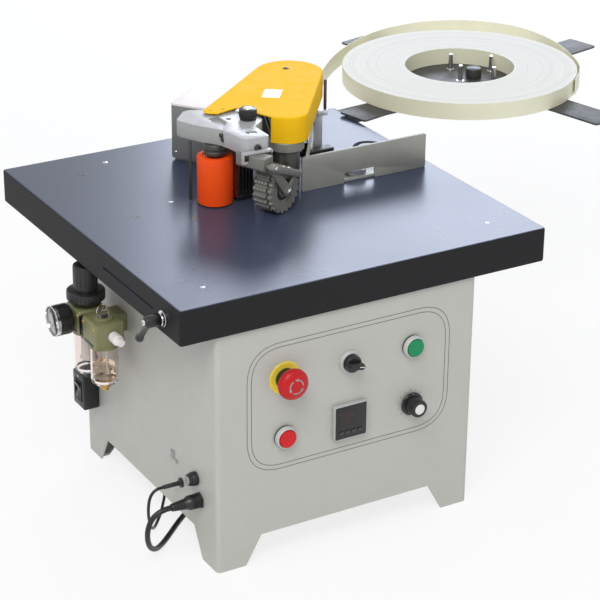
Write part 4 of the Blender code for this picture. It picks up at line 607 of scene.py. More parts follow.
    def around(self, count: int, sweep: float = 360.0, start: float = 0.0) -> "Form":
        """Copies of the form round Z."""
        base = self.copy()
        self.bm.clear()
        for i in range(count):
            self.add(base.copy().turn(start + sweep * i / count))
        return self

    def carve(self, *tools: "Form", keep: bool = False) -> "Form":
        """Cut other forms out of this one, or keep only what they share with it."""
        for tool in tools:
            objects = []
            for form in (self, tool):
                mesh = bpy.data.meshes.new("work")
                bmesh.ops.recalc_face_normals(form.bm, faces=form.bm.faces)
                form.bm.to_mesh(mesh)
                objects.append(bpy.data.objects.new("work", mesh))
                bpy.context.scene.collection.objects.link(objects[-1])
            modifier = objects[0].modifiers.new("carve", "BOOLEAN")
            modifier.operation = "INTERSECT" if keep else "DIFFERENCE"
            modifier.solver = "EXACT"
            modifier.object = objects[1]
            graph = bpy.context.evaluated_depsgraph_get()
            result = bpy.data.meshes.new_from_object(objects[0].evaluated_get(graph))
            self.bm.clear()
            self.bm.from_mesh(result)
            for item in objects:
                mesh = item.data
                bpy.data.objects.remove(item)
                bpy.data.meshes.remove(mesh)
            bpy.data.meshes.remove(result)
        return self

    def piece(self, name: str, finish: Finish, body: str, replaces: Iterable[str] = (), slot: str = "",
            place: Optional[Matrix] = None, smooth: float = 32.0) -> Any:
        """Finish the form as a piece of the machine.

        Args:
            name: the piece's name.
            finish: its finish.
            body: the CAD body it rides on.
            replaces: CAD nodes it stands for.
            slot: a material slot name; not used.
            place: where it goes, if its mesh isn't there yet.
            smooth: angle above which an edge stays sharp, in degrees.

        Returns:
            The object.
        """
        if place is not None:
            self.put(place)
        mesh = bpy.data.meshes.new(name)
        self.bm.to_mesh(mesh)
        self.bm.free()
        mesh.shade_smooth()
        mesh.set_sharp_from_angle(angle=math.radians(smooth))
        mesh.materials.append(finish.material())
        obj = bpy.data.objects.new(name, mesh)
        bpy.context.scene.collection.objects.link(obj)
        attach(obj, body)
        if replaces:
            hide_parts(*replaces)
        LOG.info("%s: %d faces", name, len(mesh.polygons))
        return obj


def dress(node: str, finish: Finish) -> None:
    """Give a CAD node a finish."""
    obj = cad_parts[node]
    obj.data.materials.clear()
    obj.data.materials.append(finish.material())


def hexagon(across: float, low: float, high: float, edge: float = 0.0) -> Form:
    """A hexagonal prism, measured across its flats."""
    radius = across / math.sqrt(3)
    return Form.plate([(radius * math.cos(math.radians(60 * i)),
        radius * math.sin(math.radians(60 * i))) for i in range(6)], low, high, edge)


def cap_screw(radius: float, height: float) -> Form:
    """A socket head screw's head, standing on z = 0, with its hexagon socket."""
    head = Form.drum(radius, 0.0, height, radius * 0.12, 28)
    return head.carve(hexagon(radius * 1.0, height * 0.35, height * 1.5))


def pan_screw(radius: float) -> Form:
    """A low domed screw head with a cross recess, standing on z = 0."""
    head = Form.turned([(0, radius * 0.55), (radius * 0.55, radius * 0.48), (radius * 0.9, radius * 0.22),
        (radius, 0), (0, 0)], 28)
    for turn in (0, 90):
        head.carve(Form.box((-radius * 0.6, -radius * 0.09, radius * 0.2), (radius * 0.6, radius * 0.09,
            radius)).turn(turn))
    return head


def wrap(circles: Sequence[tuple[float, float, float]], inset: float = 0.0,
        steps: int = 24) -> list[tuple[float, float]]:
    """The outline of a band pulled round circles.

    Args:
        circles: x, y and radius of each, counter-clockwise.
        inset: distance inside the band.
        steps: arc steps at each circle.

    Returns:
        The outline.
    """
    following = [*circles[1:], circles[0]]
    tangents = [math.atan2(y2 - y1, x2 - x1) - math.acos((r1 - r2) / math.hypot(x2 - x1,
        y2 - y1)) for (x1, y1, r1), (x2, y2, r2) in zip(circles, following)]
    outline: list[tuple[float, float]] = []
    for index, (x, y, radius) in enumerate(circles):
        start, end = math.degrees(tangents[index - 1]), math.degrees(tangents[index])
        outline += arc((x, y), radius - inset, start, end + (360 if end < start else 0), steps)
    return outline


COAT = Finish("light_powder_coat", srgb(188, 188, 182), 0.5, grain=Grain.PEEL, mottle=0.012, dirt=0.03)
SLATE = Laminate("slate_laminate", srgb(64, 71, 92), 0.3)
STEEL = Finish("bright_steel", srgb(205, 205, 207), 0.24, 1.0, Grain.TURNED, 0.04)
CHROME = Finish("chrome", srgb(214, 215, 218), 0.12, 1.0, Grain.POLISHED, 0.02)
PLATE = Finish("dull_steel", srgb(132, 133, 128), 0.42, 0.75, Grain.BRUSHED, 0.06, dirt=0.1)
FENCE_STEEL = Finish("fence_steel", srgb(158, 159, 152), 0.45, 0.2, Grain.BRUSHED, 0.04, dirt=0.06)
CAST = Finish("cast_aluminium", srgb(166, 167, 166), 0.38, grain=Grain.CAST, mottle=0.04, dirt=0.05,
    specular=0.6)
MACHINED = Finish("machined_aluminium", srgb(178, 179, 182), 0.33, grain=Grain.BRUSHED, mottle=0.03,
    specular=0.8)
COLLAR = Finish("bearing_collar", srgb(146, 145, 136), 0.45, 0.3, Grain.TURNED, 0.05, dirt=0.06)
GUIDE = Finish("guide_steel", srgb(232, 232, 234), 0.35, 0.5, Grain.BRUSHED, 0.03)
BLACK = Finish("black_plastic", srgb(30, 30, 32), 0.36, mottle=0.08)
BLACK_SATIN = Finish("black_satin", srgb(24, 24, 26), 0.26, mottle=0.06)
YELLOW = Finish("yellow_paint", srgb(252, 199, 30), 0.6, grain=Grain.PEEL, mottle=0.01, specular=0.06)
CREAM = Finish("tape_cream", srgb(236, 234, 208), 0.44, mottle=0.02)
CHARCOAL = Finish("charcoal_paint", srgb(66, 66, 65), 0.5, grain=Grain.PEEL, mottle=0.06, dirt=0.08)
SAFETY_YELLOW = Finish("safety_yellow", srgb(232, 210, 70), 0.42, mottle=0.02)
STOP_RED = Finish("stop_red", srgb(190, 14, 24), 0.38, mottle=0.03, specular=0.35)
BEZEL = Finish("bezel_grey", srgb(190, 191, 190), 0.4, mottle=0.03)
BEZEL_DARK = Finish("bezel_base", srgb(52, 53, 54), 0.45, mottle=0.05)
RED_LENS = Finish("stop_button_lens", srgb(204, 14, 24), 0.26, mottle=0.05, specular=0.35)
GREEN_LENS = Finish("start_button_lens", srgb(6, 136, 84), 0.26, mottle=0.05, specular=0.35)
CONTROLLER = Finish("controller_grey", srgb(178, 179, 177), 0.44, mottle=0.02)
DISPLAY = Finish("display_black", srgb(20, 20, 22), 0.16, mottle=0.05)
DIGIT = Finish("display_digit", srgb(84, 46, 40), 0.4, mottle=0.03)
MARK = Finish("white_mark", srgb(226, 226, 222), 0.5, mottle=0.02)
PRINT = Finish("grey_print", srgb(104, 110, 114), 0.5, mottle=0.02)
ROCKER = Finish("rocker_black", srgb(26, 26, 27), 0.22, mottle=0.05)
ZINC = Finish("olive_zinc", srgb(128, 128, 90), 0.44, 0.15, Grain.CAST, 0.06, dirt=0.08)
BRASS = Finish("brass", srgb(196, 158, 84), 0.28, 0.9, Grain.TURNED, 0.05)
BOWL = Clear("clear_bowl", srgb(250, 243, 240), 0.05)
GLASS = Clear("gauge_glass", srgb(246, 248, 248), 0.02)
OIL = Clear("oil", srgb(246, 234, 214), 0.05)
ORANGE = Finish("orange_rubber", srgb(255, 84, 18), 0.38, mottle=0.03, specular=0.3)
DARK_STEEL = Finish("dark_steel", srgb(74, 74, 72), 0.42, 0.6, Grain.TURNED, 0.08, dirt=0.1)
WHEEL_STEEL = Finish("wheel_steel", srgb(128, 128, 122), 0.46, 0.3, Grain.CAST, 0.07, dirt=0.14)
MOTOR = Finish("motor_grey", srgb(108, 111, 112), 0.48, 0.2, Grain.PEEL, 0.05)
TANK = Finish("tank_grey", srgb(124, 125, 126), 0.46, 0.1, Grain.PEEL, 0.03, dirt=0.1)
LID = Finish("lid_cream", srgb(236, 231, 230), 0.4, grain=Grain.PEEL, mottle=0.015, specular=0.3)
DRIVE = Finish("drive_grey", srgb(140, 142, 144), 0.48, mottle=0.04)
BROWN = Finish("brown_rod", srgb(84, 66, 60), 0.42, mottle=0.08)
GROMMET = Finish("rubber_grommet", srgb(20, 21, 24), 0.7, mottle=0.06, specular=0.1)
CORD_SHEATH = Finish("cord_sheath", srgb(20, 20, 22), 0.42, mottle=0.06)
BLANK_LABEL = Finish("blank_label", srgb(244, 238, 222), 0.4, mottle=0.015)
PALE_PLATE = Finish("pale_plate", srgb(150, 151, 150), 0.4, mottle=0.04)


# ================================================================ camera, light and floor
@dataclass
class Studio:
    """Camera, lamps, world and the pale floor."""

    eye: Point = (-0.9761, -1.9427, 1.3804)
    yaw: float = -30.32
    pitch: float = 24.6
    roll: float = 0.486
    lens: float = 124.87
    key_power: float = 70.0
    panel_power: float = 44.0
    fill: float = 0.56

    def camera(self) -> None:
        """Aim the camera from the front left, looking down."""
        yaw, pitch, roll = (math.radians(v) for v in (self.yaw, self.pitch, self.roll))
        ahead = Vector((-math.sin(yaw) * math.cos(pitch), math.cos(yaw) * math.cos(pitch),
            -math.sin(pitch)))
        right = Vector((math.cos(yaw), math.sin(yaw), 0.0))
        up = right.cross(ahead)
        side = right * math.cos(roll) + up * math.sin(roll)
        top = up * math.cos(roll) - right * math.sin(roll)
        data = bpy.data.cameras.new("view")
        data.lens = self.lens
        data.sensor_width = 36.0
        data.clip_end = 60.0
        camera = bpy.data.objects.new("view", data)
        camera.matrix_world = Matrix.Translation(CORNER + Vector(self.eye)) @ Matrix((side, top,
            -ahead)).transposed().to_4x4()
        bpy.context.scene.collection.objects.link(camera)
        bpy.context.scene.camera = camera

    def lamp(self, name: str, place: Point, target: Point, size: tuple[float, float], power: float,
            colour: Point = (1.0, 1.0, 1.0)) -> None:
        """A rectangular soft lamp.

        Args:
            name: the lamp's name.
            place: where it stands, from the table's corner.
            target: what it faces.
            size: width and height.
            power: watts.
            colour: its light.
        """
        data = bpy.data.lights.new(name, "AREA")
        data.shape = "RECTANGLE"
        data.size, data.size_y = size
        data.energy = power
        data.color = colour
        lamp = bpy.data.objects.new(name, data)
        aim = (Vector(target) - Vector(place)).to_track_quat("-Z", "Y")
        lamp.matrix_world = Matrix.Translation(CORNER + Vector(place)) @ aim.to_matrix().to_4x4()
        bpy.context.scene.collection.objects.link(lamp)

    def world(self) -> None:
        """White behind the machine and in its reflections, softer as light."""
        world = bpy.data.worlds.new("studio")
        bpy.context.scene.world = world
        world.use_nodes = True
        tree = world.node_tree
        path = tree.nodes.new("ShaderNodeLightPath")
        seen = tree.nodes.new("ShaderNodeMath")
        seen.operation = "MAXIMUM"
        clear = tree.nodes.new("ShaderNodeMath")
        clear.operation = "MAXIMUM"
        white = tree.nodes["Background"]
        white.inputs["Color"].default_value = (1, 1, 1, 1)
        white.inputs["Strength"].default_value = 1.0
        soft = tree.nodes.new("ShaderNodeBackground")
        soft.inputs["Color"].default_value = (1, 1, 1, 1)
        soft.inputs["Strength"].default_value = self.fill
        blend = tree.nodes.new("ShaderNodeMixShader")
        for source, target in ((path.outputs["Is Camera Ray"], seen.inputs[0]),
                (path.outputs["Is Transmission Ray"], seen.inputs[1]), (seen.outputs[0], clear.inputs[0]),
                (path.outputs["Is Glossy Ray"], clear.inputs[1]), (clear.outputs[0], blend.inputs[0]),
                (soft.outputs[0], blend.inputs[1]), (white.outputs[0], blend.inputs[2]),
                (blend.outputs[0], tree.nodes["World Output"].inputs["Surface"])):
            tree.links.new(source, target)

    def floor(self) -> None:
        """A wide pale floor that shows white and keeps a soft shadow."""
        kit = Kit("studio_floor")
        path = kit.node("ShaderNodeLightPath")
        seen = kit.node("ShaderNodeMath", {"operation": "MAXIMUM"}, {0: path.outputs["Is Camera Ray"],
            1: path.outputs["Is Transmission Ray"]})
        clear = Val(kit, kit.node("ShaderNodeMath", {"operation": "MAXIMUM"}, {0: seen.outputs[0],
            1: path.outputs["Is Glossy Ray"]}).outputs[0])
        white = kit.node("ShaderNodeEmission", None, {"Color": (1.0, 1.0, 1.0), "Strength": 1.0})
        kit.set(Base_Color=(0.94, 0.94, 0.94), Roughness=0.9)
        kit.shader.inputs["Specular IOR Level"].default_value = 0.0
        blend = kit.node("ShaderNodeMixShader", None, {0: clear * 0.8, 1: kit.shader.outputs[0],
            2: white.outputs[0]})
        kit.feed(kit.output.inputs["Surface"], blend.outputs[0])
        form = Form()
        bmesh.ops.create_grid(form.bm, x_segments=1, y_segments=1, size=14.0)
        mesh = bpy.data.meshes.new("floor")
        form.bm.to_mesh(mesh)
        form.bm.free()
        mesh.materials.append(kit.material)
        floor = bpy.data.objects.new("floor", mesh)
        bpy.context.scene.collection.objects.link(floor)

    def build(self) -> None:
        """Make it all."""
        self.camera()
        self.lamp("key", (-1.3, -1.7, 3.1), (0.35, 0.3, 0.25), (2.0, 2.0), self.key_power)
        self.lamp("panel", (2.2, 2.75, 1.78), (0.38, 0.25, 0.37), (1.6, 1.25), self.panel_power,
            (0.74, 0.82, 1.0))
        self.world()
        self.floor()
        bpy.context.scene.view_settings.view_transform = "Standard"


# ================================================================ leads
@dataclass
class Lead:
    """A lead: its route from the wall, and the coil that its spare length is wound into."""

    name: str
    diameter: float
    route: Sequence[Point]
    coil: tuple[float, float]
    outer: float
    turns_in: float
    turns_out: float
    tail: Sequence[Point]

    def wound(self) -> list[Point]:
        """The coil's points: clockwise inwards on the floor, then outwards on top of itself."""
        low = self.diameter / 2 + GAP
        points: list[Point] = []
        whole = self.turns_in + self.turns_out
        count = round(whole * 16)
        for i in range(count + 1):
            turn = whole * i / count
            inward = min(turn, self.turns_in)
            radius = self.outer - self.diameter * (inward - max(0.0, turn - self.turns_in))
            climb = min(1.0, max(0.0, (turn - self.turns_in + 0.12) / 0.24))
            height = low + self.diameter * climb * climb * (3 - 2 * climb)
            angle = math.pi - 2 * math.pi * turn
            points.append((self.coil[0] + radius * math.cos(angle),
                self.coil[1] + radius * math.sin(angle), height))
        return points

    def build(self, body: str, replaces: Sequence[str]) -> Any:
        """The cord itself, one open curve.

        Args:
            body: the CAD body it rides on.
            replaces: CAD nodes it stands for.

        Returns:
            The curve object.
        """
        path = [CORNER + Vector(p) for p in (*self.route, *self.wound(), *self.tail)]
        curve = bpy.data.curves.new(self.name, "CURVE")
        curve.dimensions = "3D"
        curve.bevel_depth = self.diameter / 2
        curve.bevel_resolution = 4
        curve.use_fill_caps = True
        curve.resolution_u = 4
        curve.render_resolution_u = 4
        spline = curve.splines.new("BEZIER")
        spline.bezier_points.add(len(path) - 1)
        for index, (point, place) in enumerate(zip(spline.bezier_points, path)):
            before, after = path[max(0, index - 1)], path[min(len(path) - 1, index + 1)]
            along = (after - before).normalized()
            point.co = place
            point.handle_left_type = point.handle_right_type = "FREE"
            point.handle_left = place - along * (place - before).length / 3
            point.handle_right = place + along * (after - place).length / 3
        curve.materials.append(CORD_SHEATH.material())
        cord = bpy.data.objects.new(self.name, curve)
        bpy.context.scene.collection.objects.link(cord)
        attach(cord, body)
        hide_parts(*replaces)
        return cord

    def tie(self, angle: float) -> Any:
        """A strap round the coil at an angle, in degrees."""
        inner = self.outer - self.diameter * self.turns_in - self.diameter / 2
        width = self.outer + self.diameter / 2 - inner
        height = self.diameter * 2
        band = Form.plate(rectangle(width + 0.002, height + 0.0008, 0.0022), -0.004, 0.004, 0.0003, 1,
            hollow=0.0008)
        place = Matrix.Rotation(math.radians(angle), 4, "Z") @ Matrix.Translation((inner + width / 2, 0,
            height / 2 + GAP)) @ Matrix.Rotation(math.pi / 2, 4, "X")
        return band.piece(f"{self.name}_tie", BLACK, "frame", place=spot(*self.coil, 0.0) @ place)


@dataclass
class Leads:
    """The mains lead with its plug and the foot-switch lead with its connector."""

    mains_route: Sequence[Point] = ((0.0083, 0.05, 0.083), (0.0, 0.05, 0.0827), (-0.009, 0.0504, 0.08),
        (-0.017, 0.0515, 0.073), (-0.021, 0.0535, 0.062), (-0.0215, 0.0565, 0.049), (-0.018, 0.0615,
        0.0345), (-0.0105, 0.0695, 0.021), (0.001, 0.08, 0.011), (0.015, 0.093, 0.006),
        (0.032, 0.109, 0.0041), (0.06, 0.135, 0.0038), (0.08, 0.152, 0.0038), (0.1, 0.17, 0.0038),
        (0.123, 0.192, 0.0038), (0.145, 0.215, 0.0038), (0.166, 0.239, 0.0038), (0.185, 0.265, 0.0038),
        (0.2, 0.292, 0.0038), (0.211, 0.32, 0.0038), (0.218, 0.35, 0.0038), (0.222, 0.38, 0.0038),
        (0.2238, 0.41, 0.0038), (0.2232, 0.44, 0.0038))
    signal_route: Sequence[Point] = ((0.0223, 0.1, 0.083), (0.016, 0.1, 0.0828), (0.0095, 0.1002, 0.08),
        (0.005, 0.101, 0.073), (0.0035, 0.103, 0.062), (0.0045, 0.1065, 0.048), (0.008, 0.112, 0.033),
        (0.014, 0.12, 0.0185), (0.0225, 0.131, 0.008), (0.034, 0.146, 0.003), (0.052, 0.169, 0.0023),
        (0.064, 0.187, 0.0023), (0.076, 0.206, 0.0023), (0.0875, 0.2275, 0.0023), (0.098, 0.25, 0.0023),
        (0.107, 0.274, 0.0023), (0.115, 0.3, 0.0023), (0.1215, 0.325, 0.0023), (0.1275, 0.35, 0.0023),
        (0.1315, 0.373, 0.0023), (0.1345, 0.395, 0.0023), (0.1368, 0.418, 0.0023), (0.1378, 0.44, 0.0023))

    def plug(self) -> Any:
        """Round moulded plug with two pins, a grip and a ribbed relief, lying on the floor."""
        body = Form.turned([(0, 0.022), (0.012, 0.022), (0.0135, 0.0205), (0.0135, 0.006),
            (0.0118, 0.001), (0.01, -0.004), (0.0078, -0.011), (0.0072, -0.015), (0.0052, -0.022),
            (0, -0.022)], 40)
        for i in range(3):
            body.carve(Form.ring(0.012, 0.0048 + 0.0008 * i, -0.0205 + 0.0035 * i, -0.0192 + 0.0035 * i))
        for side in (-1, 1):
            body.add(Form.drum(0.0024, 0.0215, 0.033, 0.0009, 20).move(side * 0.0065, 0, 0))
        return body.piece("mains_plug_moulded", BLACK_SATIN, "frame", ["mains_plug"], "black_plastic",
            spot(0.322, 0.515, 0.0138, Facing.RIGHT, math.pi / 2))

    def connector(self) -> Any:
        """Round screw connector with a knurled sleeve."""
        body = Form.turned([(0, 0.016), (0.0052, 0.016), (0.0056, 0.012), (0.007, 0.012),
            (0.0076, 0.0112), (0.0076, 0.002), (0.007, 0.001), (0.006, 0.0), (0.0048, -0.004),
            (0.003, -0.01), (0, -0.01)], 36)
        return body.piece("signal_connector_shell", STEEL, "frame", ["signal_connector"], "dull_steel",
            spot(0.201, 0.4895, 0.0081, Facing.RIGHT))

    def build(self) -> None:
        mains = Lead("mains_cord", 0.007, self.mains_route, (0.268, 0.47), 0.0455, 2.75, 2.5,
            ((0.278, 0.5141, 0.0112), (0.289, 0.5146, 0.0124), (0.3, 0.515, 0.0138)))
        signal = Lead("signal_cord", 0.004, self.signal_route, (0.168, 0.46), 0.03, 3.75, 3.5,
            ((0.175, 0.4892, 0.0066), (0.183, 0.4894, 0.0075), (0.191, 0.4895, 0.0081)))
        mains_cord = mains.build("frame", ["mains_lead", "mains_coil"])
        signal_cord = signal.build("frame", ["signal_lead", "signal_coil"])
        self.plug()
        mains.tie(-40)
        self.connector()
        signal.tie(-60)


# ================================================================ cabinet and table
@dataclass
class Cabinet:
    """The folded cabinet: finishes, the printed frame on its front, and its screws."""

    frame_low: tuple[float, float] = (0.09, 0.125)
    frame_high: tuple[float, float] = (0.382, 0.298)
    frame_radius: float = 0.036
    line: float = 0.001
    line_pitch: float = 0.006

    def printed_frame(self) -> None:
        """Two thin rounded frames printed round the controls."""
        x, z = ((a + b) / 2 for a, b in zip(self.frame_low, self.frame_high))
        width, height = (b - a for a, b in zip(self.frame_low, self.frame_high))
        lines = Form()
        for i in range(2):
            inset = i * self.line_pitch
            lines.add(Form.plate(rectangle(width - 2 * inset, height - 2 * inset,
                self.frame_radius * 1.35 - inset, 12), 0.00002, 0.00008, hollow=self.line))
        lines.piece("printed_frame", PRINT, "frame", place=spot(x, FRONT_Y, z, Facing.FRONT))

    def screws(self) -> None:
        """Pan screws round the rear panel and along the table's brackets."""
        screws = Form()
        for x in (0.092, 0.234, 0.376):
            for z in (0.082, 0.278):
                screws.add(pan_screw(0.0036).put(Facing.BACK.turn()).move(x, 0.3844, z))
        for y in (0.05, 0.33):
            screws.add(pan_screw(0.004).put(Facing.RIGHT.turn()).move(0.4192, y, 0.302))
            screws.add(pan_screw(0.004).put(Facing.LEFT.turn()).move(0.0485, y, 0.302))
        screws.piece("cabinet_screws", CHROME, "frame", place=spot(0, 0, 0))

    def build(self) -> None:
        """Dress the shell, floor, rear panel and the drive inside, and add the details."""
        for node in ("cabinet_shell", "rear_panel", "cabinet_floor"):
            dress(node, COAT)
        dress("speed_drive", DRIVE)
        self.printed_frame()
        self.screws()


@dataclass
class WorkTable:
    """The slate table with its inserts, screws, grommet and edge groove; each insert's hole is a black disc
    of painted shade.
    """

    width: float = 0.52
    depth: float = 0.524
    top: float = 0.37

    def build(self) -> None:
        """Dress the table and set its fittings flush in the top."""
        dress("table_top", SLATE)
        # Each insert is a flat black disc with a low rim: the rim is the insert, and the dark middle is
        # painted shade for its threaded hole.
        for name, (x, y, radius) in {"left": (0.086, 0.4546, 0.0052), "middle": (0.0833, 0.2847,
                0.0052)}.items():
            Form.turned([(0, 0.00006), (radius * 0.8, 0.00008), (radius, 0.0002), (radius * 1.1, 0.00004),
                (0, 0.00002)], 28).piece(f"table_insert_hole_shade_{name}", BLACK, "frame", place=spot(x, y,
                self.top))
        screws = Form()
        for x, y in ((0.1322, 0.4806), (0.1455, 0.3088), (0.056, 0.05), (0.464, 0.05), (0.464, 0.48)):
            screws.add(pan_screw(0.0034).scale(1, 1, 0.35).move(x, y, self.top + 0.00005))
        screws.piece("table_screws", CHROME, "frame", place=spot(0, 0, 0))
        Form.drum(0.0022, 0, 0.0005, 0.0002, 20).piece("brass_stop", BRASS, "frame", place=spot(0.1448,
            0.2428, self.top))
        Form.turned([(0.015, 0.0006), (0.018, 0.0016), (0.0215, 0.0012), (0.0225, 0.00005),
            (0.015, 0.00005)], 48).piece("cable_grommet", GROMMET, "frame", place=spot(0.478, 0.358,
            self.top))
        Form.drum(0.015, 0.00005, 0.0005).piece("grommet_brush", BLACK, "frame", place=spot(0.478, 0.358,
            self.top))


# ================================================================ control panel
@dataclass
class ControlPanel:
    """Emergency stop, buttons, selector, temperature controller and speed dial on the cabinet's front."""

    columns: tuple[float, float, float] = (0.14235, 0.23385, 0.32535)
    low: float = 0.169
    high: float = 0.249

    def at(self, column: int, height: float, out: float = 0.0, spin: float = 0.0) -> Matrix:
        """A place on the panel, facing the operator."""
        return spot(self.columns[column], FRONT_Y - out, height, Facing.FRONT, math.radians(spin))

    def emergency_stop(self) -> None:
        """Yellow disc, collar and a red mushroom head with turn arrows."""
        place = self.at(0, self.high)
        disc = Form.turned([(0, 0.002), (0.0208, 0.002), (0.0215, 0.0014), (0.0215, GAP), (0, GAP)], 56)
        disc.piece("stop_disc", SAFETY_YELLOW, "frame", ["emergency_stop_base"], "safety_yellow", place)
        Form.turned([(0.011, 0.0102), (0.0118, 0.0102), (0.0128, 0.0094), (0.0136, 0.0022),
            (0.011, 0.0022)], 48).piece("stop_collar", BLACK, "frame", place=place)
        head = Form.turned([(0, 0.03), (0.006, 0.0299), (0.0115, 0.0292), (0.016, 0.0276),
            (0.0187, 0.0252), (0.0199, 0.0222), (0.02, 0.0192), (0.019, 0.0166), (0.017, 0.0151),
            (0.012, 0.0148), (0.0105, 0.014), (0.0105, 0.011), (0, 0.011)], 56)
        grip = Form.drum(0.0022, 0.013, 0.031, 0.0, 16).move(0.0212, 0, 0).around(8)
        head.carve(grip)
        head.piece("stop_head", STOP_RED, "emergency_stop", ["emergency_stop_button"], "stop_red", place,
            40)
        marks = Form()
        for i in range(3):
            band = Form.plate(arc((0, 0), 0.0098, 0, 78, 12) + arc((0, 0), 0.0082, 78, 0, 12), 0.0,
                0.0004)
            tip = Form.plate([(0.0068, 0), (0.0112, 0), (0.009, 0.0042)], 0.0, 0.0004).turn(78)
            marks.add(band.turn(120 * i), tip.turn(120 * i))
        ring = marks.copy()
        for vertex in ring.bm.verts:
            reach = math.hypot(vertex.co.x, vertex.co.y)
            vertex.co.z += 0.0297 - max(0.0, reach - 0.006) * 0.15
        ring.piece("stop_arrows", PALE_PLATE, "emergency_stop", place=place)

    def push_button(self, name: str, column: int, height: float, lens: Finish) -> None:
        """A flush push button in its bezel.

        Args:
            name: the CAD name's first word.
            column: which column it is in.
            height: its row.
            lens: the lens's finish.
        """
        place = self.at(column, height)
        Form.turned([(0.0121, 0.0088), (0.0128, 0.009), (0.0136, 0.0084), (0.01475, 0.006),
            (0.01475, 0.003), (0.0121, 0.003)], 56).piece(f"{name}_ring", BEZEL, "frame",
            [f"{name}_button_bezel"], "bezel_grey", place)
        Form.ring(0.01475, 0.0116, GAP, 0.0029, 0.0005, 56).piece(f"{name}_seat", BEZEL_DARK, "frame",
            place=place)
        Form.turned([(0, 0.0109), (0.006, 0.0112), (0.0104, 0.011), (0.0114, 0.0102), (0.0115, 0.006),
            (0, 0.006)], 48).piece(f"{name}_lens", lens, f"{name}_button", [f"{name}_button"],
            f"{name}_button_lens", place)

    def selector(self) -> None:
        """Grey ring and a black pointer knob with a white line."""
        place = self.at(1, self.high)
        Form.turned([(0.0117, 0.005), (0.014, 0.005), (0.01475, 0.004), (0.01475, GAP), (0.0117, GAP)],
            56).piece("selector_ring", BEZEL, "frame", ["selector_base"], "bezel_grey", place)
        knob = Form.turned([(0, 0.0118), (0.01, 0.0118), (0.0112, 0.0108), (0.0115, 0.0062),
            (0.011, 0.0056), (0, 0.0056)], 48)
        grip = Form.plate(rounded([(-0.0037, -0.0104), (0.0037, -0.0104), (0.004, 0.009), (0.0, 0.0116),
            (-0.004, 0.009)], [0.003, 0.003, 0.001, 0.0008, 0.001]), 0.01, 0.0205, 0.0012, 3)
        knob.add(grip.turn(-40 - 60))
        knob.piece("selector_pointer", BLACK_SATIN, "selector", ["selector_knob"], "black_plastic", place)
        Form.box((-0.0005, 0.003, 0.0205), (0.0005, 0.0098, 0.0207)).turn(-100).piece("selector_line",
            MARK, "selector", place=place)

    def controller(self) -> None:
        """Temperature controller: grey body, recessed black face, display digits, lamps and keys."""
        place = self.at(1, self.low)
        case = Form.plate(rectangle(0.048, 0.048, 0.003), GAP, 0.007, 0.0009, 2)
        case.carve(Form.plate(rectangle(0.045, 0.045, 0.002), 0.005, 0.01))
        case.piece("controller_case", CONTROLLER, "frame", ["temperature_controller"], "controller_grey",
            place)
        Form.plate(rectangle(0.0446, 0.0446, 0.002), 0.0052, 0.0062, 0.0003).piece("controller_face",
            DISPLAY, "frame", place=place)
        digits, lamps = Form(), Form()
        for row, (height, size) in enumerate(((0.0085, 0.0088), (-0.0025, 0.0062))):
            for i in range(3):
                left = -0.012 + i * size * 0.8
                for bar in ((0, 0.5, 0.42, 0.07), (0, -0.5, 0.42, 0.07), (0, 0, 0.42, 0.07),
                        (-0.24, 0.25, 0.07, 0.42), (0.24, 0.25, 0.07, 0.42), (0.24, -0.25, 0.07, 0.42)):
                    u, v, w, h = (b * size for b in bar)
                    digits.add(Form.box((left + u - w / 2, height + v - h / 2, 0.0062), (left + u + w / 2,
                        height + v + h / 2, 0.00632)))
        digits.piece("controller_digits", DIGIT, "frame", place=place)
        for i in range(4):
            lamps.add(Form.drum(0.0007, 0.0062, 0.0064, 0.0, 12).move(0.015, 0.0115 - i * 0.0048, 0))
            lamps.add(Form.plate(rectangle(0.0066, 0.0046, 0.0009), 0.0062, 0.0072,
                0.0004).move(-0.0135 + i * 0.009, -0.0145, 0))
        lamps.piece("controller_keys", BEZEL_DARK, "frame", place=place)

    def speed_dial(self) -> None:
        """Fluted black dial with a white scale, a pointer line and a pale cap."""
        place = self.at(2, self.low)
        dial = Form.turned([(0, 0.0226), (0.008, 0.0226), (0.0112, 0.0222), (0.0116, 0.0212),
            (0.0122, 0.007), (0.015, 0.0064), (0.0155, 0.0056), (0.0155, 0.0038), (0, 0.0036)], 64)
        dial.carve(Form.drum(0.001, 0.0072, 0.03, 0.0, 12).move(0.0126, 0, 0).around(20))
        dial.piece("dial_body", BLACK_SATIN, "speed_knob", ["speed_knob"], "black_plastic", place, 30)
        Form.turned([(0, 0.0239), (0.006, 0.0238), (0.0068, 0.0232), (0.0068, 0.0224), (0, 0.0224)],
            40).piece("dial_cap", MARK, "speed_knob", place=place)
        Form.box((-0.0005, 0.0122, 0.0062), (0.0005, 0.015, 0.0066)).piece("dial_pointer", MARK,
            "speed_knob", place=place)
        scale = Form()
        for i in range(11):
            scale.add(Form.box((-0.00035, 0.0168, 0.00002), (0.00035, 0.0192 + 0.0008 * (i % 5 == 0),
                0.00009)).turn(135 - 27 * i))
        scale.piece("dial_scale", PRINT, "frame", place=place)

    def build(self) -> None:
        """Build every control."""
        self.emergency_stop()
        self.push_button("stop", 0, self.low, RED_LENS)
        self.push_button("start", 2, self.high, GREEN_LENS)
        self.selector()
        self.controller()
        self.speed_dial()


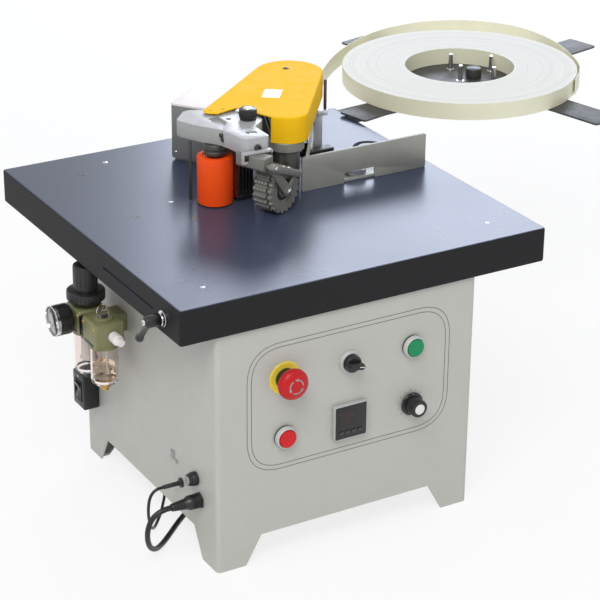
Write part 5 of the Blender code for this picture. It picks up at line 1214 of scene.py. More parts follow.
# ================================================================ fittings on the left wall
@dataclass
class SideFittings:
    """Fuse, mains inlet, cable gland, small plates and the switch box on the cabinet's left wall."""

    fuse: tuple[float, float] = (0.06, 0.109)
    inlet: tuple[float, float] = (0.05, 0.083)
    gland: tuple[float, float] = (0.1, 0.083)
    switch: tuple[float, float] = (0.357, 0.105)

    def at(self, place: tuple[float, float], out: float = 0.0, spin: float = 0.0) -> Matrix:
        """A place on the left wall, facing left; a form's Y points back and its X up."""
        return spot(LEFT_X - out, place[0], place[1], Facing.LEFT, spin)

    def build_fuse(self) -> None:
        """Fuse holder with a slotted grey cap."""
        body = Form.turned([(0, 0.012), (0.007, 0.012), (0.0078, 0.0112), (0.0079, 0.008),
            (0.0087, 0.0075), (0.009, 0.0068), (0.009, GAP), (0, GAP)], 40)
        body.piece("fuse_body", BLACK, "frame", ["fuse_holder"], "black_plastic", self.at(self.fuse))
        cap = Form.drum(0.0058, 0.0118, 0.0134, 0.0004, 32).carve(Form.box((-0.004, -0.0006, 0.0126),
            (0.004, 0.0006, 0.02)))
        cap.piece("fuse_cap", PALE_PLATE, "frame", place=self.at(self.fuse))

    def build_inlet(self) -> None:
        """Mains entry: threaded nut, ribbed dome and a tapered relief."""
        body = Form.turned([(0, 0.04), (0.0046, 0.04), (0.005, 0.0392), (0.007, 0.0215), (0.0078, 0.019),
            (0.0092, 0.017), (0.0095, 0.015), (0.0095, 0.0032), (0.0095, 0.0031), (0, 0.0031)], 44)
        body.carve(Form.ring(0.012, 0.0085, 0.008, 0.0092), Form.ring(0.012, 0.0085, 0.011, 0.0122))
        for i in range(5):
            body.carve(Form.ring(0.012, 0.0042 + 0.0004 * (4 - i), 0.0245 + 0.003 * i,
                0.0254 + 0.003 * i))
        body.add(hexagon(0.0199, GAP, 0.003, 0.0005))
        body.piece("inlet_relief", BLACK, "frame", ["mains_inlet"], "black_plastic", self.at(self.inlet))

    def build_gland(self) -> None:
        """Foot-switch lead's gland: thin flange, dome nut and a short relief."""
        body = Form.turned([(0, 0.026), (0.0024, 0.026), (0.0027, 0.0254), (0.003, 0.006),
            (0.0034, 0.004), (0.0052, 0.003), (0.0064, 0.0024), (0.0064, GAP), (0, GAP)], 36)
        body.piece("gland_nut", BLACK, "frame", ["signal_gland"], "black_plastic", self.at(self.gland))

    def build_switch(self) -> None:
        """Switch box with its frame, and the rocker with a white mark."""
        y, z = self.switch
        case = Form.box((0.0253, y - 0.017, z - 0.025), (0.0483, y + 0.017, z + 0.025), 0.0022, 3)
        case.carve(Form.box((0.01, y - 0.008, z - 0.013), (0.0363, y + 0.008, z + 0.013)))
        case.piece("switch_case", BLACK, "frame", ["switch_box"], "black_plastic", spot(0, 0, 0))
        profile = [(-0.0118, 0.0), (-0.0118, 0.006), (-0.009, 0.0056), (-0.004, 0.0048), (0.0, 0.0045),
            (0.004, 0.0055), (0.009, 0.0076), (0.0118, 0.0085), (0.0118, 0.0025), (0.0, -0.003)]
        rocker = Form.plate(profile, -0.0074, 0.0074, 0.0006)
        turn = Matrix.Translation((0.0298, y, z)) @ (Matrix.Rotation(math.radians(-90), 4,
            "Y") @ Matrix.Rotation(math.radians(90), 4, "X"))
        rocker.piece("rocker", ROCKER, "power_rocker", ["power_rocker"], "rocker_black",
            spot(0, 0, 0) @ turn)
        frame_ring = Form.plate(rectangle(0.03, 0.02, 0.0015), 0.0, 0.0012, 0.0003, hollow=0.0018)
        frame_ring.piece("switch_frame", BLACK_SATIN, "frame", place=self.at(self.switch, 0.0233))
        mark = Form.ring(0.002, 0.0014, 0, 0.0002).move(0.0205, 0, 0)
        mark.add(Form.box((-0.0225, -0.0003, 0), (-0.019, 0.0003, 0.0002)))
        mark.piece("switch_marks", MARK, "frame", place=self.at(self.switch, 0.0234))

    def build_plates(self) -> None:
        """Two small blank plates above the gland."""
        plates = Form()
        for y, z, w, h in ((0.123, 0.1125, 0.009, 0.012), (0.113, 0.107, 0.006, 0.005)):
            plates.add(Form.plate(rectangle(h, w, 0.001), GAP, 0.0012, 0.0003).move(z, y, 0))
        plates.piece("blank_plates", PALE_PLATE, "frame", place=spot(LEFT_X, 0, 0, Facing.LEFT))

    def build(self) -> None:
        """Build every fitting."""
        self.build_fuse()
        self.build_inlet()
        self.build_gland()
        self.build_switch()
        self.build_plates()


@dataclass
class ClampLever:
    """Indexing clamp lever on the table's left edge."""

    y: float = 0.041
    z: float = 0.346
    length: float = 0.046
    lean: float = 48.0

    def build(self) -> None:
        """Chrome washer and stud, black hub and handle with a ball, and a chrome end screw."""
        place = spot(0, self.y, self.z, Facing.LEFT)
        Form.turned([(0, 0.006), (0.004, 0.006), (0.0042, 0.0034), (0.0096, 0.0032), (0.01, 0.0028),
            (0.01, GAP), (0, GAP)], 36).piece("lever_washer", CHROME, "frame", ["clamp_stud"],
            "bright_steel", place)
        hub = Form.turned([(0, 0.0262), (0.0048, 0.0262), (0.0066, 0.025), (0.0076, 0.0215),
            (0.008, 0.007), (0.0076, 0.0063), (0, 0.0063)], 36)
        handle = Form.turned([(0, self.length + 0.0058), (0.003, self.length + 0.0048),
            (0.0052, self.length + 0.0018), (0.0056, self.length - 0.0008), (0.005, self.length - 0.0034),
            (0.004, self.length - 0.006), (0.0036, 0.022), (0.0044, 0.008), (0.0056, 0.0), (0, 0.0)], 28)
        handle.turn(-90, "X").turn(self.lean).move(0, 0, 0.018)
        hub.add(handle)
        hub.piece("lever_handle", BLACK_SATIN, "clamp_lever", ["clamp_lever"], "black_plastic", place)
        cap_screw(0.0036, 0.0022).move(0, 0, 0.0255).piece("lever_screw", CHROME, "clamp_lever",
            place=place)


# ================================================================ air unit
@dataclass
class AirUnit:
    """Filter regulator and lubricator with their clear bowls, knob and gauge."""

    x: float = 0.01
    regulator_y: float = 0.286
    lubricator_y: float = 0.236
    base: float = 0.226
    top: float = 0.264

    def body(self) -> None:
        """Zinc bodies with collars, slots and the spacer between them; the slots are black strips of painted
        shade.
        """
        form = Form()
        for y in (self.regulator_y, self.lubricator_y):
            form.add(Form.box((self.x - 0.0205, y - 0.0205, self.base + 0.004), (self.x + 0.0205,
                y + 0.0205, self.top), 0.0035, 3))
            form.add(Form.drum(0.0195, self.base, self.base + 0.006, 0.0008, 44).move(self.x, y, 0))
        form.add(Form.box((self.x - 0.015, self.lubricator_y + 0.018, self.base + 0.008), (self.x + 0.015,
            self.regulator_y - 0.018, self.top - 0.006), 0.001))
        form.add(Form.box((self.x + 0.017, 0.246, 0.234), (0.048, 0.276, 0.258), 0.001))
        form.add(Form.drum(0.013, self.top - 0.001, self.top + 0.003, 0.0006).move(self.x,
            self.lubricator_y, 0))
        form.piece("air_bodies", ZINC, "frame", ["air_unit_body"], "olive_zinc", spot(0, 0, 0))
        # Black strips in the gap between the two bodies and along their bottom edges above the collars:
        # painted shade for those slots and creases.
        slots = Form()
        for y in (self.regulator_y - 0.0245, self.lubricator_y + 0.0245 - 0.006):
            slots.add(Form.box((self.x - 0.0208, y, self.base + 0.009), (self.x - 0.015, y + 0.0025,
                self.top - 0.004)))
        for y in (self.regulator_y, self.lubricator_y):
            slots.add(Form.box((self.x - 0.0209, y - 0.013, self.base + 0.0065),
                (self.x - 0.02, y + 0.013, self.base + 0.01), 0.0002))
        slots.piece("air_slot_shade", BLACK, "frame", place=spot(0, 0, 0))

    def bowls(self) -> None:
        """Clear bowls with drains, oil in the lubricator and a filter in the regulator."""
        for name, y, low in (("regulator", self.regulator_y, 0.166), ("lubricator", self.lubricator_y,
                0.17)):
            high = self.base - GAP
            bowl = Form.turned([(0.008, low + 0.005), (0.0125, low + 0.0064), (0.0156, low + 0.011),
                (0.016, high), (0.018, high), (0.018, low + 0.011), (0.0172, low + 0.0066),
                (0.0144, low + 0.0036), (0.008, low + 0.0016)], 48)
            bowl.piece(f"{name}_cup", BOWL, "frame", [f"{name}_bowl"], "clear_bowl", spot(self.x, y, 0))
            metal = BRASS if name == "lubricator" else BLACK
            Form.turned([(0, low + 0.0064), (0.0079, low + 0.0064), (0.0079, low + 0.001), (0.0056, low),
                (0.005, low - 0.0058), (0, low - 0.0058)], 32).piece(f"{name}_drain", metal, "frame",
                place=spot(self.x, y, 0))
        Form.turned([(0, 0.218), (0.0085, 0.218), (0.0085, 0.192), (0.0105, 0.19), (0.0105, 0.188),
            (0, 0.188)], 32).piece("filter_core", MARK, "frame", place=spot(self.x, self.regulator_y, 0))
        Form.drum(0.015, 0.1835, 0.2, 0.0004).piece("bowl_oil", OIL, "frame", place=spot(self.x,
            self.lubricator_y, 0))
        Form.drum(0.0018, 0.186, 0.2259, 0.0004, 16).piece("oil_tube", MARK, "frame",
            place=spot(self.x + 0.004, self.lubricator_y, 0))

    def knob(self) -> None:
        """Regulator knob: ribbed ring and tall column."""
        form = Form.turned([(0, 0.3198), (0.013, 0.3198), (0.015, 0.319), (0.0158, 0.317),
            (0.016, 0.2862), (0.016, 0.285), (0, 0.285)], 44)
        form.carve(Form.drum(0.001, 0.293, 0.33, 0.0, 10).move(0.0164, 0, 0).around(16))
        ring = Form.turned([(0, 0.285), (0.023, 0.285), (0.0246, 0.2842), (0.025, 0.2828),
            (0.025, 0.2735), (0.0238, 0.2722), (0.017, 0.2662), (0, 0.2662)], 56)
        ring.carve(Form.drum(0.0012, 0.26, 0.29, 0.0, 10).move(0.0256, 0, 0).around(28))
        form.add(ring)
        form.piece("regulator_grip", BLACK, "regulator_knob", ["regulator_knob"], "black_plastic",
            spot(self.x, self.regulator_y, 0))

    def gauge(self) -> None:
        """Pressure gauge: black case, chrome rim, scale, pointer and glass."""
        place = spot(self.x, self.regulator_y, 0.25, Facing.LEFT)
        case = Form.turned([(0, 0.044), (0.0182, 0.044), (0.0186, 0.047), (0.0202, 0.047),
            (0.0202, 0.0275), (0.019, 0.0256), (0.007, 0.0252), (0.006, 0.0245), (0.006, 0.021),
            (0, 0.021)], 56)
        case.piece("gauge_case", BLACK_SATIN, "frame", ["pressure_gauge"], "black_plastic", place)
        Form.turned([(0.0186, 0.0468), (0.019, 0.0486), (0.02, 0.0489), (0.0205, 0.0482), (0.0205, 0.044),
            (0.0203, 0.044), (0.0203, 0.0468)], 64).piece("gauge_rim", CHROME, "frame", place=place)
        centre = CORNER + Vector((0, self.regulator_y, 0.25))
        face = DialFace("gauge_dial", srgb(206, 206, 202), 0.4, centre=(0.0, centre.y, centre.z),
            radius=0.0184)
        Form.drum(0.0184, 0.044, 0.0445, 0.0, 56).piece("gauge_dial", face, "frame", place=place)
        needle = Form.plate([(-0.0006, -0.004), (0.0006, -0.004), (0.00025, 0.0125), (-0.00025, 0.0125)],
            0.045, 0.0453).turn(60)
        needle.add(Form.drum(0.0014, 0.0445, 0.0457, 0.0003, 20))
        needle.piece("gauge_needle", STOP_RED, "frame", place=place)
        Form.drum(0.0185, 0.047, 0.0478, 0.0002, 56).piece("gauge_pane", GLASS, "frame", place=place)

    def fittings(self) -> None:
        """Sight dome, white outlet fitting, screws and caps."""
        Form.turned([(0, 0.2818), (0.004, 0.2812), (0.0068, 0.2788), (0.0079, 0.275), (0.0079, 0.2671),
            (0, 0.2671)], 36).piece("sight_dome", BOWL, "frame", place=spot(self.x, self.lubricator_y, 0))
        nozzle = Form.turned([(0, 0.045), (0.0046, 0.045), (0.005, 0.044), (0.005, 0.036),
            (0.0072, 0.035), (0.0072, 0.0215), (0, 0.0215)], 32)
        nozzle.piece("outlet_nozzle", LID, "frame", place=spot(self.x + 0.004, self.lubricator_y, 0.246,
            Facing.FRONT))
        screws = Form()
        for y in (self.regulator_y - 0.016, self.regulator_y + 0.016, self.lubricator_y - 0.016,
                self.lubricator_y + 0.016):
            screws.add(pan_screw(0.0022).put(Facing.LEFT.turn()).move(self.x - 0.0205, y,
                self.top - 0.006))
        screws.add(cap_screw(0.003, 0.0024).move(self.x + 0.012, self.lubricator_y + 0.012, self.top))
        screws.piece("air_screws", BRASS, "frame", place=spot(0, 0, 0))

    def build(self) -> None:
        """Build the unit."""
        self.body()
        self.bowls()
        self.knob()
        self.gauge()
        self.fittings()


# ================================================================ fence
@dataclass
class Fence:
    """Infeed fence with its notch, slotted foot and clamp knob."""

    left: float = 0.3115
    right: float = 0.504
    face: float = 0.255
    base: float = 0.3703
    height: float = 0.048
    notch: tuple[float, float] = (0.376, 0.424)
    clamp: tuple[float, float] = (0.404, 0.274)

    def build(self) -> None:
        """Build plate, foot and knob."""
        low, high = self.base, self.base + self.height
        outline = rounded([(self.left, low), (self.notch[0], low), (self.notch[0], low + 0.015),
            (self.notch[1], low + 0.015), (self.notch[1], low), (self.right, low), (self.right, high),
            (self.left, high)], [0.0006, 0.0008, 0.003, 0.003, 0.0008, 0.0006, 0.003, 0.0055])
        plate = Form.plate(outline, -0.004, 0.0, 0.0005).put(Facing.FRONT.turn()).move(0, self.face, 0)
        foot = Form.plate(rounded([(0.356, 0.2588), (0.48, 0.2588), (0.48, 0.291), (0.356, 0.291)],
            [0, 0, 0.005, 0.005]), low, low + 0.004, 0.0005)
        foot.carve(Form.plate(rectangle(0.009, 0.015, 0.0044), low - 0.01, low + 0.01).move(*self.clamp,
            0))
        plate.add(foot)
        plate.piece("fence_casting", FENCE_STEEL, "fence", ["fence_plate"], "dull_steel", spot(0, 0, 0))
        base = low + 0.0043
        knob = Form.turned([(0, base + 0.0125), (0.0058, base + 0.0125), (0.007, base + 0.0115),
            (0.007, base + 0.0085), (0.0134, base + 0.0085), (0.015, base + 0.0072),
            (0.015, base + 0.0012), (0.0142, base), (0, base)], 60)
        knob.carve(Form.drum(0.0007, base - 0.002, base + 0.01, 0.0, 8).move(0.0153, 0, 0).around(36))
        knob.piece("fence_knob", CHROME, "fence_clamp", ["fence_clamp"], "bright_steel", spot(*self.clamp,
            0))


# ================================================================ pressing head
WHEEL_TURN = 23.5
WHEEL_FACE = (0.2555, 0.2035, 0.4015)
WHEEL_PIVOT = (-0.034, 0.0415)


def wheel_place(along: float = 0.0, up: float = 0.0, out: float = 0.0) -> Matrix:
    """A place in the feed wheel's own plane; a form's Z points outwards from it."""
    return spot(*WHEEL_FACE) @ Matrix.Rotation(math.radians(WHEEL_TURN), 4,
        "Z") @ Matrix.Rotation(math.pi / 2, 4, "X") @ (Matrix.Translation((along, up, out)))


@dataclass
class PressingHead:
    """Cast arm on its post, with the machined front block, guard, orange roller and tension knob."""

    top: float = 0.474
    base: float = 0.4525
    pivot: tuple[float, float] = (0.222, 0.322)
    roller: tuple[float, float] = (0.1955, 0.2808)
    knob: tuple[float, float] = (0.246, 0.284)

    def outline(self) -> list[tuple[float, float]]:
        """The arm's outline seen from above."""
        corners = [(0.164, 0.3266), (0.166, 0.318), (0.174, 0.301), (0.1815, 0.286), (0.19, 0.2755),
            (0.1965, 0.264), (0.2, 0.25), (0.202, 0.235), (0.204, 0.2235), (0.209, 0.2175),
            (0.237, 0.216), (0.2402, 0.219), (0.2405, 0.256), (0.256, 0.268), (0.263, 0.276),
            (0.263, 0.296), (0.25, 0.315), (0.235, 0.333), (0.196, 0.352), (0.186, 0.3508)]
        return rounded(corners, [0.006, 0.02, 0.03, 0.03, 0.02, 0.02, 0.03, 0.02, 0.01, 0.006, 0.003,
            0.003, 0.008, 0.01, 0.004, 0.004, 0.01, 0.02, 0.004, 0.008], 5)

    def seam(self, shift: float) -> "Form":
        """Everything right of the line where the machined block meets the casting."""
        return Form.plate([(x + shift, y) for x, y in ((0.15, 0.1), (0.32, 0.1), (0.32, 0.42),
            (0.2165, 0.42), (0.2163, 0.2866), (0.2008, 0.2669), (0.185, 0.2468))], self.base - 0.02,
            self.top + 0.02)

    def casting(self) -> None:
        """Left part of the arm: soft edges, and a step cut down beside the block."""
        cast = Form.plate(self.outline(), self.base, self.top).carve(self.seam(0.0)).bevel(0.002, 3)
        step = rounded([(0.202, 0.3105), (0.218, 0.312), (0.218, 0.285), (0.2035, 0.267),
            (0.199, 0.2705)], [0.003, 0, 0, 0, 0.002])
        cast.carve(Form.plate(step, self.top - 0.0036, self.top + 0.01), Form.drum(0.0065, 0.44, 0.49,
            0.0, 32).move(*self.pivot, 0))
        cast.piece("arm_casting", CAST, "pressing_arm", ["pressing_arm"], "cast_aluminium", spot(0, 0, 0))
        guard = Form.plate(rounded([(0.1712, 0.2983), (0.1682, 0.3013), (0.1668, 0.2999),
            (0.1698, 0.2969)], 0.0004), 0.372, self.base + 0.0001, 0.0002)
        guard.piece("roller_guard", DARK_STEEL, "pressing_arm", place=spot(0.0004, 0, 0))

    def block(self) -> None:
        """Machined front block with its bore, hanger, bracket and rail."""
        block = Form.plate(self.outline(), self.base, self.top + 0.0002).carve(self.seam(0.0004),
            keep=True).bevel(0.0006, 2)
        block.carve(Form.drum(0.0062, self.top - 0.0045, self.top + 0.01, 0.0, 40).move(0.225, 0.237, 0),
            Form.drum(0.0078, self.top - 0.0012, self.top + 0.01, 0.0, 40).move(0.225, 0.237, 0),
            Form.drum(0.0014, self.top - 0.004, self.top + 0.01, 0.0, 20).move(0.2309, 0.2536, 0),
            Form.box((0.215, 0.255, self.top - 0.001), (0.227, 0.256, self.top + 0.01)), Form.drum(0.0038,
            self.top - 0.003, self.top + 0.01, 0.0, 28).move(0.2243, 0.2962, 0), Form.drum(0.0065, 0.44,
            0.49, 0.0, 32).move(*self.pivot, 0))
        block.piece("arm_block", MACHINED, "pressing_arm", slot="cast_aluminium", place=spot(0, 0, 0))
        outline = rounded([(-0.009, -0.004), (-0.004, -0.007), (0.007, -0.007), (0.011, -0.003),
            (0.011, 0.0122), (-0.009, 0.0122)], [0.004, 0.004, 0.004, 0.004, 0.001, 0.001])
        Form.plate(outline, -0.046, -0.0015, 0.0008).put(wheel_place(*WHEEL_PIVOT)).piece("arm_hanger",
            WHEEL_STEEL, "pressing_arm")
        bracket = Form.plate(rounded([(0.1985, 0.216), (0.1985, 0.2095), (0.236, 0.2075), (0.24, 0.211),
            (0.24, 0.216)], 0.0012), 0.4556, 0.4588, 0.0006)
        bracket.add(Form.plate(rounded([(0.1985, 0.216), (0.1985, 0.2105), (0.225, 0.21), (0.225, 0.216)],
            [0, 0.004, 0.004, 0]), 0.443, 0.4478, 0.001))
        bracket.add(Form.box((0.1985, 0.21, 0.447), (0.2005, 0.216, 0.456), 0.0004))
        bracket.piece("arm_bracket", MACHINED, "pressing_arm", place=spot(0, 0, 0))
        # Black block filling the bracket's slot: painted shade for the dark gap between its two plates.
        Form.box((0.2008, 0.2092, 0.4482), (0.2388, 0.216, 0.4553), 0.0004).piece("bracket_slot_shade", BLACK,
            "pressing_arm", place=spot(0, 0, 0))
        rail = Form.plate(rounded([(0.213, 0.219), (0.24, 0.219), (0.248, 0.22), (0.248, 0.23),
            (0.213, 0.23)], 0.0025), 0.4488, 0.4523, 0.0006)
        rail.piece("arm_rail", MACHINED, "pressing_arm", place=spot(0, 0, 0))

    def bolts(self) -> None:
        """Bolts on the arm, and the socket bolt in its front."""
        bolts = Form()
        bolts.add(cap_screw(0.0032, 0.0022).move(0.2243, 0.2962, self.top - 0.003), cap_screw(0.0026,
            0.0018).move(0.248, 0.308, self.top + 0.0002))
        bolts.add(cap_screw(0.0046, 0.0036).put(Facing.FRONT.turn()).move(0.2225, 0.2166, 0.461))
        bolts.add(cap_screw(0.003, 0.0026).put(Facing.LEFT.turn()).move(0.1962, 0.2625, 0.4675))
        bolts.add(Form.box((0.1955, 0.2595, 0.459), (0.1985, 0.2655, 0.464), 0.0006))
        bolts.piece("arm_bolts", DARK_STEEL, "pressing_arm", place=spot(0, 0, 0))
        Form.drum(0.0057, self.top - 0.0044, self.top - 0.0014, 0.0005, 36).piece("bore_plug", CHROME,
            "pressing_arm", place=spot(0.225, 0.237, 0))

    def post(self) -> None:
        """Post with a screwed flange on the table."""
        table = 0.37
        post = Form.turned([(0, self.top + 0.0002), (0.0056, self.top + 0.0002),
            (0.006, self.top - 0.001), (0.006, self.base - GAP), (0.01, self.base - GAP),
            (0.01, table + 0.0095), (0.0116, table + 0.008), (0.0172, table + 0.0078),
            (0.018, table + 0.007), (0.018, table + GAP), (0, table + GAP)], 44)
        for i in range(4):
            angle = math.radians(45 + 90 * i)
            post.add(cap_screw(0.0024, 0.002).move(0.0142 * math.cos(angle), 0.0142 * math.sin(angle),
                table + 0.0078))
        post.piece("arm_post", PLATE, "frame", ["arm_pivot_post"], "dull_steel", spot(*self.pivot, 0))

    def build_roller(self) -> None:
        """Orange roller with a dark hub."""
        low, high = 0.3715, 0.4355
        Form.turned([(0.022, high), (0.0232, high - 0.0005), (0.0235, high - 0.0018),
            (0.0235, low + 0.0018), (0.0232, low + 0.0005), (0.022, low), (0.0105, low),
            (0.0105, high - 0.0015), (0.0165, high - 0.0015), (0.0172, high)],
            72).piece("press_roller_rubber", ORANGE, "press_roller", ["press_roller"], "orange_rubber",
            spot(*self.roller, 0))
        Form.turned([(0, self.base + 0.01), (0.006, self.base + 0.01), (0.006, self.base - GAP),
            (0.014, self.base - GAP), (0.015, self.base - 0.002), (0.015, high + 0.01),
            (0.0143, high + 0.0092), (0.0143, high + 0.0072), (0.015, high + 0.0064),
            (0.015, high + 0.0035), (0.012, high + 0.0004), (0.0095, high + 0.0004),
            (0.0095, low + 0.0004), (0, low + 0.0004)], 48).piece("roller_hub", DARK_STEEL,
            "pressing_arm", ["roller_spindle"], "dark_steel", spot(*self.roller, 0))

    def tension_knob(self) -> None:
        """Knurled black knob with a pale steel top."""
        low = self.top + GAP + 0.0002
        knob = Form.turned([(0, 0.489), (0.01, 0.489), (0.0112, 0.4883), (0.0117, 0.487), (0.0117, 0.478),
            (0.0108, 0.477), (0.0108, low), (0, low)], 64)
        knob.carve(Form.drum(0.0006, 0.47, 0.5, 0.0, 8).move(0.0119, 0, 0).around(36))
        knob.piece("tension_grip", BLACK_SATIN, "tension_knob", ["tension_knob"], "black_plastic",
            spot(*self.knob, 0))
        Form.turned([(0, 0.4903), (0.005, 0.4903), (0.006, 0.4898), (0.0064, 0.4889), (0, 0.4889)],
            40).piece("tension_cap", STEEL, "tension_knob", place=spot(*self.knob, 0))

    def build(self) -> None:
        """Build the head."""
        self.casting()
        self.block()
        self.bolts()
        self.post()
        self.build_roller()
        self.tension_knob()


@dataclass
class FeedWheel:
    """Stack of toothed discs on a swinging arm."""

    radius: float = 0.0305
    root: float = 0.0272
    width: float = 0.0288
    teeth: int = 20

    def teeth_outline(self) -> list[tuple[float, float]]:
        """Square-topped teeth round one disc."""
        pitch = 2 * math.pi / self.teeth
        return [(r * math.cos((i + s) * pitch), r * math.sin((i + s) * pitch)) for i in range(self.teeth)
            for s, r in ((0.0, self.root), (0.14, self.radius - 0.0006), (0.24, self.radius),
            (0.56, self.radius), (0.66, self.radius - 0.0006), (0.8, self.root))]

    def wheel(self) -> None:
        """Grooved rear drum, a deep groove, the front disc with its recess, and the hub ring."""
        outline = self.teeth_outline()
        rear, front = Form.plate(outline, -self.width, -0.009, 0.0003, 1), Form.plate(outline, -0.0058,
            0.0, 0.0003, 1)
        for i in range(1, 4):
            rear.carve(Form.ring(0.04, 0.0288, -self.width + 0.005 * i - 0.0004,
                -self.width + 0.005 * i + 0.0004))
        rear.carve(Form.drum(0.0052, -0.04, 0.01, 0.0, 32))
        front.carve(Form.drum(0.0165, -0.005, 0.01, 0.0, 56), Form.drum(0.0052, -0.04, 0.01, 0.0, 32))
        rear.add(front, Form.ring(0.0236, 0.0052, -0.009, -0.0058, 0.0, 56), Form.ring(0.0092, 0.0052,
            -0.005, -0.0008, 0.0005, 40))
        rear.add(Form.ring(0.0164, 0.0142, -0.005, -0.0018, 0.0004, 56))
        rear.piece("wheel_discs", WHEEL_STEEL, "feed_wheel", ["feed_wheel"], "cast_aluminium",
            wheel_place(), 30)
        Form.ring(0.014, 0.0094, -0.0049, -0.0042, 0.0002, 40).piece("wheel_seal", BLACK, "feed_wheel",
            place=wheel_place())

    def arm(self) -> None:
        """Link from the pivot to the hub, the long upper bar with its bolts, a short strut, axle and pin."""
        hub = (-WHEEL_PIVOT[0], -WHEEL_PIVOT[1])
        tip = (hub[0] + 0.019, hub[1] + 0.019)
        link = Form.plate(wrap([(*hub, 0.0072), (0.0, 0.0, 0.0056)]), 0.003, 0.0056, 0.0006)
        link.add(Form.plate(wrap([(*tip, 0.004), (0.0, 0.0, 0.0052)]), 0.003, 0.011, 0.0012, 3))
        link.add(Form.plate(wrap([(*hub, 0.005), (*tip, 0.0042)]), 0.0032, 0.0052, 0.0005))
        link.add(Form.drum(0.0036, -0.012, 0.0058, 0.0003, 24), Form.drum(0.004, -0.031, 0.005, 0.0003,
            24).move(*hub, 0))
        link.add(Form.ring(0.0068, 0.003, -0.0336, -0.0298, 0.0004, 28).move(*hub, 0))
        link.piece("wheel_link", WHEEL_STEEL, "wheel_arm", ["wheel_arm"], "cast_aluminium",
            wheel_place(*WHEEL_PIVOT))
        bolts = Form()
        bolts.add(hexagon(0.0078, 0.0056, 0.0082, 0.0005).turn(12).move(*hub, 0), Form.drum(0.0024,
            0.0082, 0.0088, 0.0004, 20).move(*hub, 0))
        for share, size in ((0.36, 0.0022), (0.56, 0.0024)):
            bolts.add(cap_screw(size, 0.0014).turn(-90, "X").turn(-23).move(tip[0] * share + 0.0018,
                tip[1] * share + 0.004, 0.007))
        bolts.add(cap_screw(0.003, 0.0018).move(0, 0, 0.011))
        bolts.piece("wheel_bolts", CHROME, "wheel_arm", place=wheel_place(*WHEEL_PIVOT))

    def build(self) -> None:
        """Build the wheel and its arm."""
        self.wheel()
        self.arm()


@dataclass
class Cutter:
    """Fluted black tape cutter with its sliding blade."""

    low: Point = (0.2227, 0.268, 0.3703)
    high: Point = (0.2457, 0.298, 0.424)

    def build(self) -> None:
        """Build the body and its screws; the blade is dressed."""
        body = Form.box(self.low, self.high, 0.0012)
        for i in range(4):
            x = self.low[0] + 0.003 + 0.005 * i
            body.carve(Form.box((x, self.low[1] - 0.01, self.low[2] + 0.012),
                (x + 0.0022, self.low[1] + 0.003, self.high[2] + 0.01)))
        body.piece("cutter_case", BLACK, "frame", ["cutter_body"], "black_plastic", spot(0, 0, 0))
        screws = Form()
        for x in (0.2262, 0.2422):
            screws.add(cap_screw(0.0018, 0.0012).put(Facing.FRONT.turn()).move(x, self.low[1], 0.3765))
        screws.add(hexagon(0.007, 0.0, 0.005, 0.0004).move(0.2342, 0.283, self.high[2]))
        screws.piece("cutter_screws", DARK_STEEL, "frame", place=spot(0, 0, 0))
        dress("cutter_blade", CHROME)


